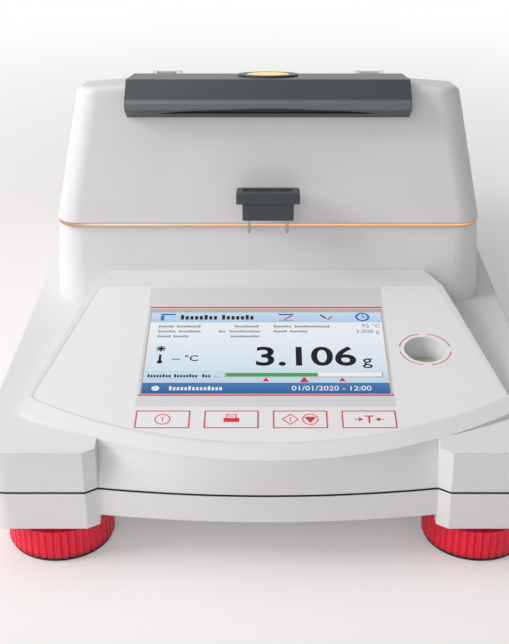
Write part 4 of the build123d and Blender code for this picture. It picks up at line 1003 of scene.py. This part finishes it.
@dataclass
class Panel(Assembly):
    """The sloping control panel: film, keys with their printed marks, and the level's ring."""

    looks = {OVERLAY: ("control_overlay",), KEY_FILM: tuple(mark.value for mark in KeyMark)}
    key_row: float = -98.46
    key_pitch: float = 25.5
    key_size: Point = (20.2, 10.0)
    key_margin: float = 0.1
    line: float = 0.42
    thin_line: float = 0.4
    level_at: Point = (62.6, -55.5)
    level_ring: float = 10.2
    level_gap: float = 9.0
    print_lift: float = 0.012

    def add_pieces(self) -> None:
        """Print the keys, the level's arcs and the display's frame."""
        for slot, mark in enumerate(KeyMark):
            middle = SCREEN_X + self.key_pitch * (slot - 1.5)
            layer = Stencil(DECK, self.print_lift)
            self.border(layer, middle)
            self.mark(layer, mark, middle)
            layer.piece(f"{mark.value}_print", RED_INK, mark.value)
        self.level_marks()
        self.display_frame()

    def border(self, layer: Stencil, middle: float) -> None:
        """Draw the line round a key, just inside its edge.

        Args:
            layer: The stencil to draw on.
            middle: The key's middle.
        """
        half_w, half_h = (side / 2 - self.line / 2 - self.key_margin for side in self.key_size)
        corners = [(-1, -1), (1, -1), (1, 1), (-1, 1)]
        line = [(middle + sx * half_w, self.key_row + sy * half_h) for sx, sy in corners]
        layer.stroke(line, self.line, closed=True)

    def mark(self, layer: Stencil, mark: KeyMark, x: float) -> None:
        """Draw a key's mark about its middle.

        Args:
            layer: The stencil to draw on.
            mark: Which key it is.
            x: The key's middle.
        """
        y = self.key_row
        if mark is KeyMark.POWER:
            layer.arc((x, y), 2.75, self.line).bar(x - 0.2, y - 1.25, x + 0.2, y + 1.25)
        elif mark is KeyMark.PRINT:
            layer.bar(x - 2.9, y - 1.5, x + 2.9, y + 0.75)
            sheet = [(-1.7, 0.7), (-1.7, 2.6), (1.7, 2.6), (1.7, 0.7)]
            layer.stroke([(x + dx, y + dy) for dx, dy in sheet], self.thin_line)
            layer.bar(x - 0.9, y + 1.5, x + 0.9, y + 1.8)
        elif mark is KeyMark.START_STOP:
            left, right, reach = x - 3.7, x + 3.7, 2.9
            diamond = [(left - reach, y), (left, y - reach), (left + reach, y), (left, y + reach)]
            layer.stroke(diamond, self.thin_line, closed=True)
            layer.bar(left - 0.2, y - 1.2, left + 0.2, y + 1.2)
            layer.arc((right, y), reach, self.thin_line)
            layer.fill([(right, y - 2.1), (right + 2.3, y + 1.4), (right - 2.3, y + 1.4)])
        else:
            layer.bar(x - 1.6, y + 1.5, x + 1.6, y + 2.15)
            layer.bar(x - 0.34, y - 2.15, x + 0.34, y + 1.5)
            for side in (-1, 1):
                layer.bar(x + side * 2.6, y - 0.22, x + side * 5.4, y + 0.22)
                tip = x + side * 2.2
                head = [(tip, y), (tip + side * 1.7, y - 1.1), (tip + side * 1.7, y + 1.1)]
                layer.fill(head[::side])

    def level_marks(self) -> None:
        """Print the four arcs round the spirit level."""
        layer = Stencil(DECK, self.print_lift)
        for start in (0, 90, 180, 270):
            layer.arc(
                self.level_at, self.level_ring, self.line,
                start + self.level_gap, start + 90 - self.level_gap,
            )
        layer.piece("level_arcs_print", RED_INK)

    def display_frame(self) -> None:
        """Print the red lines over and under the display and its thin tan frame."""
        red = Stencil(DECK, self.print_lift)
        for half, front, rear in ((48.3, -27.0, -26.2), (48.6, -84.75, -83.95)):
            red.bar(SCREEN_X - half, front, SCREEN_X + half, rear)
        red.piece("display_lines_print", RED_INK)
        inner, outer = 47.56, 48.1
        tan = Stencil(DECK, self.print_lift)
        tan.bar(SCREEN_X - outer, -29.66, SCREEN_X + outer, -27.7)
        for side in (-1, 1):
            tan.bar(SCREEN_X + side * inner, -83.9, SCREEN_X + side * outer, -29.7)
        tan.piece("display_frame_print", TAN_INK)


@dataclass
class Display(Assembly):
    """The touch display and what it shows: fields, rules, icons and generic figures."""

    looks = {TOUCH: ("touch_glass",), BLACK: ("lcd_module",)}
    half_w: float = 47.5
    rear: float = -29.72
    header_foot: float = -36.6
    strip_top: float = -69.0
    strip_foot: float = -76.25
    footer_top: float = -76.3
    front: float = -83.54
    base_lift: float = -0.48
    step: float = 0.022
    line_feet: Triple = (-40.2, -43.6, -47.0)
    track: tuple[float, float, float, float] = (-16.6, -72.7, 44.4, -69.9)

    @property
    def left(self) -> float:
        """Give the picture's left edge."""
        return SCREEN_X - self.half_w

    def layer(self, level: int) -> Stencil:
        """Start a layer of the picture, counted up from the glass."""
        return Stencil(DECK, self.base_lift + level * self.step, self.step * 0.7)

    def add_pieces(self) -> None:
        """Lay the picture's fields, then what stands on them."""
        for name, level, front, rear, finish in (
            ("display_field", 0, self.front, self.rear, LIT_FIELD),
            ("display_header", 1, self.header_foot, self.rear, LIT_HEADER),
            ("display_footer", 1, self.front, self.footer_top, LIT_FOOTER),
            ("display_strip", 1, self.strip_foot, self.strip_top, LIT_STRIP),
        ):
            area = self.layer(level).bar(self.left, front, SCREEN_X + self.half_w, rear)
            area.piece(name, finish)
        self.figures()
        self.rules()
        self.titles()
        self.progress()
        self.icons()

    def figures(self) -> None:
        """Show the reading, its unit and the small settings."""
        reading = self.layer(2).figures("3.106", -5.6, -65.3, 17.0, 0.3, 1.08)
        reading.figures("g", 37.2, -65.1, 9.0, 0.05).piece("display_reading", LIT_BLACK)
        small = self.layer(2).figures("95 °C", 38.2, -40.2, 3.3)
        small.figures("3.000 g", 35.6, -44.0, 3.3).piece("display_values", LIT_GREY)
        warmth = self.layer(2).figures("-- °C", -38.0, -62.6, 5.2, 0.08)
        warmth.piece("display_warmth", LIT_BLACK)
        clock = self.layer(2).figures("01/01/2020 - 12:00", 9.0, -81.0, 4.0, 0.04)
        clock.piece("display_clock", LIT_WHITE)

    def rules(self) -> None:
        """Show the lines of text as rows of plain blocks."""
        first, second, third = self.line_feet
        rules = self.layer(2)
        for start, foot, words in (
            (-44.6, first, (6.0, 9.5)), (-44.6, second, (7.0, 8.6)), (-44.6, third, (5.0, 6.2)),
            (-13.6, first, (9.6,)), (-20.0, second, (3.0, 12.6)), (-15.0, third, (11.4,)),
            (2.4, first, (7.2, 14.0)), (2.4, second, (5.2, 7.4)),
        ):
            self.greek(rules, start, foot, words, 1.15, 1.4)
        rules.piece("display_rules", LIT_GREY)

    def titles(self) -> None:
        """Show the title, the strip's words with three dots after them, and the user's name."""
        title = self.layer(2)
        self.greek(title, -36.0, -34.7, (15.2,), 2.5)
        self.greek(title, -19.0, -34.7, (12.9,), 2.5)
        start = self.greek(title, self.left + 1.6, -73.0, (9.0, 9.6, 3.2), 1.5, 1.3)
        for dot in range(3):
            left = start + dot * 1.1
            title.bar(left, -73.0, left + 0.4, -72.6)
        title.piece("display_titles", LIT_BLACK)
        user = self.layer(2)
        self.greek(user, self.left + 10.4, -80.9, (21.0,), 1.9)
        user.disc((self.left + 5.2, -79.7), 1.5).piece("display_user", LIT_WHITE)

    def progress(self) -> None:
        """Show the drying's track, its edge, how far it has come and three marks under it."""
        left, front, right, rear = self.track
        self.layer(2).bar(left, front, right, rear).piece("display_track", LIT_TRACK)
        edge = [(left, -70.0), (left, front), (right, front), (right, -70.0)]
        self.layer(3).stroke(edge, 0.28).piece("display_track_edge", LIT_GREY)
        self.layer(3).bar(-16.3, -72.4, 19.4, -70.2).piece("display_progress", LIT_GREEN)
        marks = self.layer(3)
        foot = -74.2
        for x, size in ((-0.8, 1.3), (14.0, 1.8), (28.7, 1.3)):
            marks.fill([(x - size, foot - size), (x + size, foot - size), (x, foot + size * 0.9)])
        marks.piece("display_markers", LIT_PINK)

    @staticmethod
    def greek(layer: Stencil, start: float, foot: float, words: Iterable[float], height: float,
              gap: float = 0.0) -> float:
        """Stand rows of small plain blocks in for words.

        Args:
            layer: The stencil to draw on.
            start: Where the first word starts.
            foot: Their base line.
            words: Their lengths.
            height: The height of a block.
            gap: The room between two words.

        Returns:
            Where a next word would start.
        """
        pitch, width, tall, tall_each = height * 0.78, 0.66, 1.3, 5
        for length in words:
            for i in range(max(1, round(length / pitch))):
                top = foot + height * (tall if i % tall_each == 0 else 1.0)
                layer.bar(start + i * pitch, foot, start + (i + width) * pitch, top)
            start += length + gap
        return start

    def icons(self) -> None:
        """Show the small generic icons: window, sheet, pen, dial, star and thermometer."""
        left = self.left
        art = self.layer(2)
        art.bar(left + 4.0, -31.6, left + 10.0, -30.6).bar(left + 4.0, -35.4, left + 5.4, -31.9)
        art.bar(4.4, -31.6, 10.4, -30.6)
        art.arc((39.0, -32.9), 2.5, 0.95)
        art.bar(38.75, -33.1, 39.25, -31.5).bar(39.0, -33.35, 40.3, -32.85)
        art.stroke([(4.6, -35.2), (10.2, -35.2)], 0.4)
        art.piece("display_icons_blue", LIT_BLUE)
        red = self.layer(3)
        red.stroke([(6.6, -34.8), (10.0, -31.9)], 0.7).stroke([(24.6, -34.9), (26.4, -32.4)], 0.7)
        red.piece("display_icons_red", LIT_PINK)
        dark = self.layer(2)
        dark.stroke([(21.6, -31.2), (24.0, -33.9)], 0.7)
        x, y, arm = left + 5.6, -54.6, 2.0
        for turn in range(4):
            angle = math.radians(45 * turn)
            dx, dy = arm * math.cos(angle), arm * math.sin(angle)
            dark.stroke([(x - dx, y - dy), (x + dx, y + dy)], 0.6)
        dark.bar(left + 5.1, -63.0, left + 6.1, -58.4).disc((left + 5.6, -63.2), 1.1)
        dark.piece("display_icons_dark", LIT_BLACK)


@dataclass
class SpiritLevel(Assembly):
    """The clear vial in its well, with its ring, its fluid and its bubble."""

    looks = {VIAL: ("level_vial",)}
    x: float = 62.6
    y: float = -105.71
    top: float = 50.5
    ring: float = 3.0
    ring_line: float = 0.35
    bubble: float = 2.1
    bubble_tall: float = 0.5
    bubble_off: Triple = (0.4, 0.3, -1.2)

    def add_pieces(self) -> None:
        """Add the printed ring and the bubble."""
        layer = Stencil(Plane((self.x, self.y, self.top)), 0.01)
        layer.arc((0.0, 0.0), self.ring, self.ring_line).piece("level_ring_print", BLACK_INK)
        dx, dy, dz = self.bubble_off
        rows = 6
        turns = [math.pi / 2 * i / rows for i in range(1, rows + 1)]
        profile = [(self.bubble * math.sin(t), self.bubble_tall * math.cos(t)) for t in turns]
        middle = Plane((self.x + dx, self.y + dy, self.top + dz))
        make_piece("level_bubble", turned("level_bubble", middle, profile, 20), AIR, "base")


class Chamber(Assembly):
    """The heating chamber and what stands in it: tray, shield, pan, support and pan handler."""

    looks = {
        SHEET: ("chamber_tray", "draft_shield", "pan_support"),
        PAN: ("sample_pan",),
        STEEL: ("handler_wire",),
        SLATE: ("handler_grip",),
    }


@dataclass
class Lid(Assembly):
    """The lid, its handle and window, and the heater that it carries."""

    looks = {
        LID_WHITE: ("lid_shell",),
        HANDLE_SLATE: ("lid_handle",),
        SLATE: ("window_rim",),
        WINDOW: ("window_glass",),
        SHEET: ("heater_plate", "glass_ring"),
        MIRROR: ("reflector",),
        GUARD: ("guard_glass",),
        TUBE: ("halogen_lamp",),
        CERAMIC: ("lamp_sockets",),
        STEEL: ("lid_screws", "temperature_sensor", "hinge_arms", "hinge_pins"),
        CASE_WHITE: ("hinge_ears",),
    }
    half_w: float = 91.3
    front: float = -50.0
    inset: float = 0.5
    depth: float = 2.0
    low: float = 88.42
    high: float = 90.04
    corner: float = 10.0
    front_run_end: float = 2.4
    side_runs: tuple[Point, ...] = ((9.6, 114.4), (121.6, 134.0))
    window_at: Triple = (0.0, -21.5, 146.6)
    window_slope: float = 0.185
    lens: tuple[Point, ...] = (
        (9.5, 0.03), (9.5, 0.62), (9.0, 0.86), (7.0, 1.1), (4.0, 1.24), (1.2, 1.3),
    )

    def add_pieces(self) -> None:
        """Add the heater's painted glow in the seam and in the window."""
        self.seam_glow()
        self.window_light()

    def window_light(self) -> None:
        """Lay the crowned lens on the window's glass, glowing by itself as painted lamp light."""
        plane = Plane(self.window_at, -math.degrees(math.atan(self.window_slope)))
        make_piece("window_lens", turned("window_lens", plane, self.lens, 40), WINDOW_LIGHT, "lid")

    def strip(self, name: str, outer: list[Point], inner: list[Point]) -> None:
        """Make one run of the glow from its outer and inner lines.

        Args:
            name: The piece's name.
            outer: The line that shows.
            inner: The line behind it.
        """
        rings = [
            [Vector(point) * MM for point in (
                (*near, self.low), (*far, self.low), (*far, self.high), (*near, self.high),
            )]
            for near, far in zip(outer, inner)
        ]
        make_piece(name, loft(name, rings), GLOW, "lid")

    def front_line(self, inset: float, corner: float) -> list[Point]:
        """Give a line round the lid's front, inside its edge, with rounded corners."""
        x, y, end = self.half_w - inset, self.front + inset, self.front_run_end
        return rounded_path([(-x, end), (-x, y), (x, y), (x, end)], corner)

    def seam_glow(self) -> None:
        """Lay the painted glow along the seam, with gaps for the rubber buffers."""
        outer = self.front_line(self.inset, self.corner)
        inner = self.front_line(self.inset + self.depth, self.corner - self.depth)
        self.strip("seam_glow_front", outer, inner)
        near, far = self.half_w - self.inset, self.half_w - self.inset - self.depth
        for side, word in ((-1, "left"), (1, "right")):
            for run, ends in enumerate(self.side_runs, 1):
                self.strip(
                    f"seam_glow_{word}_{run}",
                    [(side * near, y) for y in ends],
                    [(side * far, y) for y in ends],
                )


@dataclass(frozen=True)
class Lamp:
    """One soft square light of the studio: its place and side in metres, its power in watts."""

    name: str
    at: Triple
    size: float
    power: float


@dataclass
class Studio:
    """The pale floor, the backdrop, the soft lights and the camera at the photograph's place."""

    floor_colour: Colour = paint(240, 236, 235)
    floor_grain: Colour = paint(235, 231, 230)
    floor_half: float = 6.0
    floor_drop: float = 0.0002
    backdrop: tuple[Point, ...] = ((2.0, 0.0), (5.0, 0.0), (5.0, 5.0))
    room_colour: Colour = (1.0, 0.995, 0.99, 1.0)
    room_light: float = 0.34
    lamps: tuple[Lamp, ...] = (
        Lamp("key_light", (-1.1, -0.35, 0.78), 0.7, 13.5),
        Lamp("front_light", (-0.3, -1.5, 0.95), 0.9, 5.0),
        Lamp("top_light", (-0.5, 0.3, 1.5), 0.8, 3.6),
    )
    aim: Triple = (0.0, 0.0, 0.07)
    camera_at: Triple = (0.0, -0.537, 0.282)
    pitch: float = 26.0
    sensor: float = 36.0
    lens: float = 1219 * 36 / 644
    shift: Point = (-0.021, -0.0047)

    def build(self) -> None:
        """Set the stage."""
        self.floor()
        self.world()
        for lamp in self.lamps:
            self.light(lamp)
        self.camera()
        bpy.context.scene.view_settings.view_transform = "Standard"

    def floor(self) -> None:
        """Lay the floor and turn it up into a backdrop far behind."""
        half = self.floor_half
        work = bmesh.new()
        rows = [
            [work.verts.new((x, y, z - self.floor_drop)) for x in (-half, half)]
            for y, z in [(-half, 0.0)] + rounded_path(self.backdrop, 2.0, 12)
        ]
        for (a, b), (c, d) in zip(rows, rows[1:]):
            work.faces.new((a, b, d, c))
        mesh = bpy.data.meshes.new("floor")
        work.to_mesh(mesh)
        work.free()
        floor = bpy.data.objects.new("floor", mesh)
        bpy.context.scene.collection.objects.link(floor)
        floor.data.materials.append(self.paper())

    def paper(self) -> bpy.types.Material:
        """Make the floor's paper, which fades to plain white away from the analyzer.

        Returns:
            The material.
        """
        g = Graph("floor_paper")
        grain = g.noise(g.at, 300.0, 3.0)
        far = g.x.reach(g.y).ramp(0.12, 0.85)
        shader = g.add("ShaderNodeBsdfPrincipled", None, {
            "Base Color": g.mix(grain * 0.2, self.floor_colour, self.floor_grain),
            "Roughness": 0.72,
        })
        white = g.add("ShaderNodeEmission", None, {"Color": (1, 1, 1, 1), "Strength": 1.0})
        rays = g.add("ShaderNodeLightPath")
        seen = rays["Is Camera Ray"] + rays["Is Glossy Ray"] + rays["Is Transmission Ray"]
        share = (seen > 0.5) * (0.22 + far * 0.78)
        inputs = {0: share, 1: shader["BSDF"], 2: white["Emission"]}
        blend = g.add("ShaderNodeMixShader", None, inputs)
        g.add("ShaderNodeOutputMaterial", None, {"Surface": blend["Shader"]})
        return g.material

    def world(self) -> None:
        """Fill the room with an even pale light."""
        world = bpy.data.worlds.new("room")
        bpy.context.scene.world = world
        world.use_nodes = True
        shade = world.node_tree.nodes["Background"]
        shade.inputs["Color"].default_value = self.room_colour
        shade.inputs["Strength"].default_value = self.room_light

    def light(self, lamp: Lamp) -> None:
        """Hang one soft light that faces the analyzer.

        Args:
            lamp: The light.
        """
        bulb = bpy.data.lights.new(lamp.name, "AREA")
        bulb.size = lamp.size
        bulb.energy = lamp.power
        holder = bpy.data.objects.new(lamp.name, bulb)
        holder.location = lamp.at
        holder.rotation_mode = "QUATERNION"
        holder.rotation_quaternion = (Vector(lamp.at) - Vector(self.aim)).to_track_quat("Z", "Y")
        bpy.context.scene.collection.objects.link(holder)

    def camera(self) -> None:
        """Put the camera where the photograph was taken from."""
        lens = bpy.data.cameras.new("camera")
        lens.sensor_width = self.sensor
        lens.lens = self.lens
        lens.shift_x, lens.shift_y = self.shift
        lens.clip_start, lens.clip_end = 0.01, 50.0
        holder = bpy.data.objects.new("camera", lens)
        holder.location = self.camera_at
        holder.rotation_euler = (math.radians(90.0 - self.pitch), 0.0, 0.0)
        bpy.context.scene.collection.objects.link(holder)
        bpy.context.scene.camera = holder


def main(frame: dict[str, Any]) -> None:
    """Build the sub-assemblies in order.
    """
    nodes = frame["nodes"]
    kinds = (Case, Feet, Panel, Display, SpiritLevel, Chamber, Lid)
    for assembly in (*(kind(nodes) for kind in kinds), Studio()):
        assembly.build()
        LOG.info("built %s", type(assembly).__name__)


if __name__ == "__main__":
    logging.basicConfig(level=logging.INFO, format="%(name)s: %(message)s")
    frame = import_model()
    main(frame)
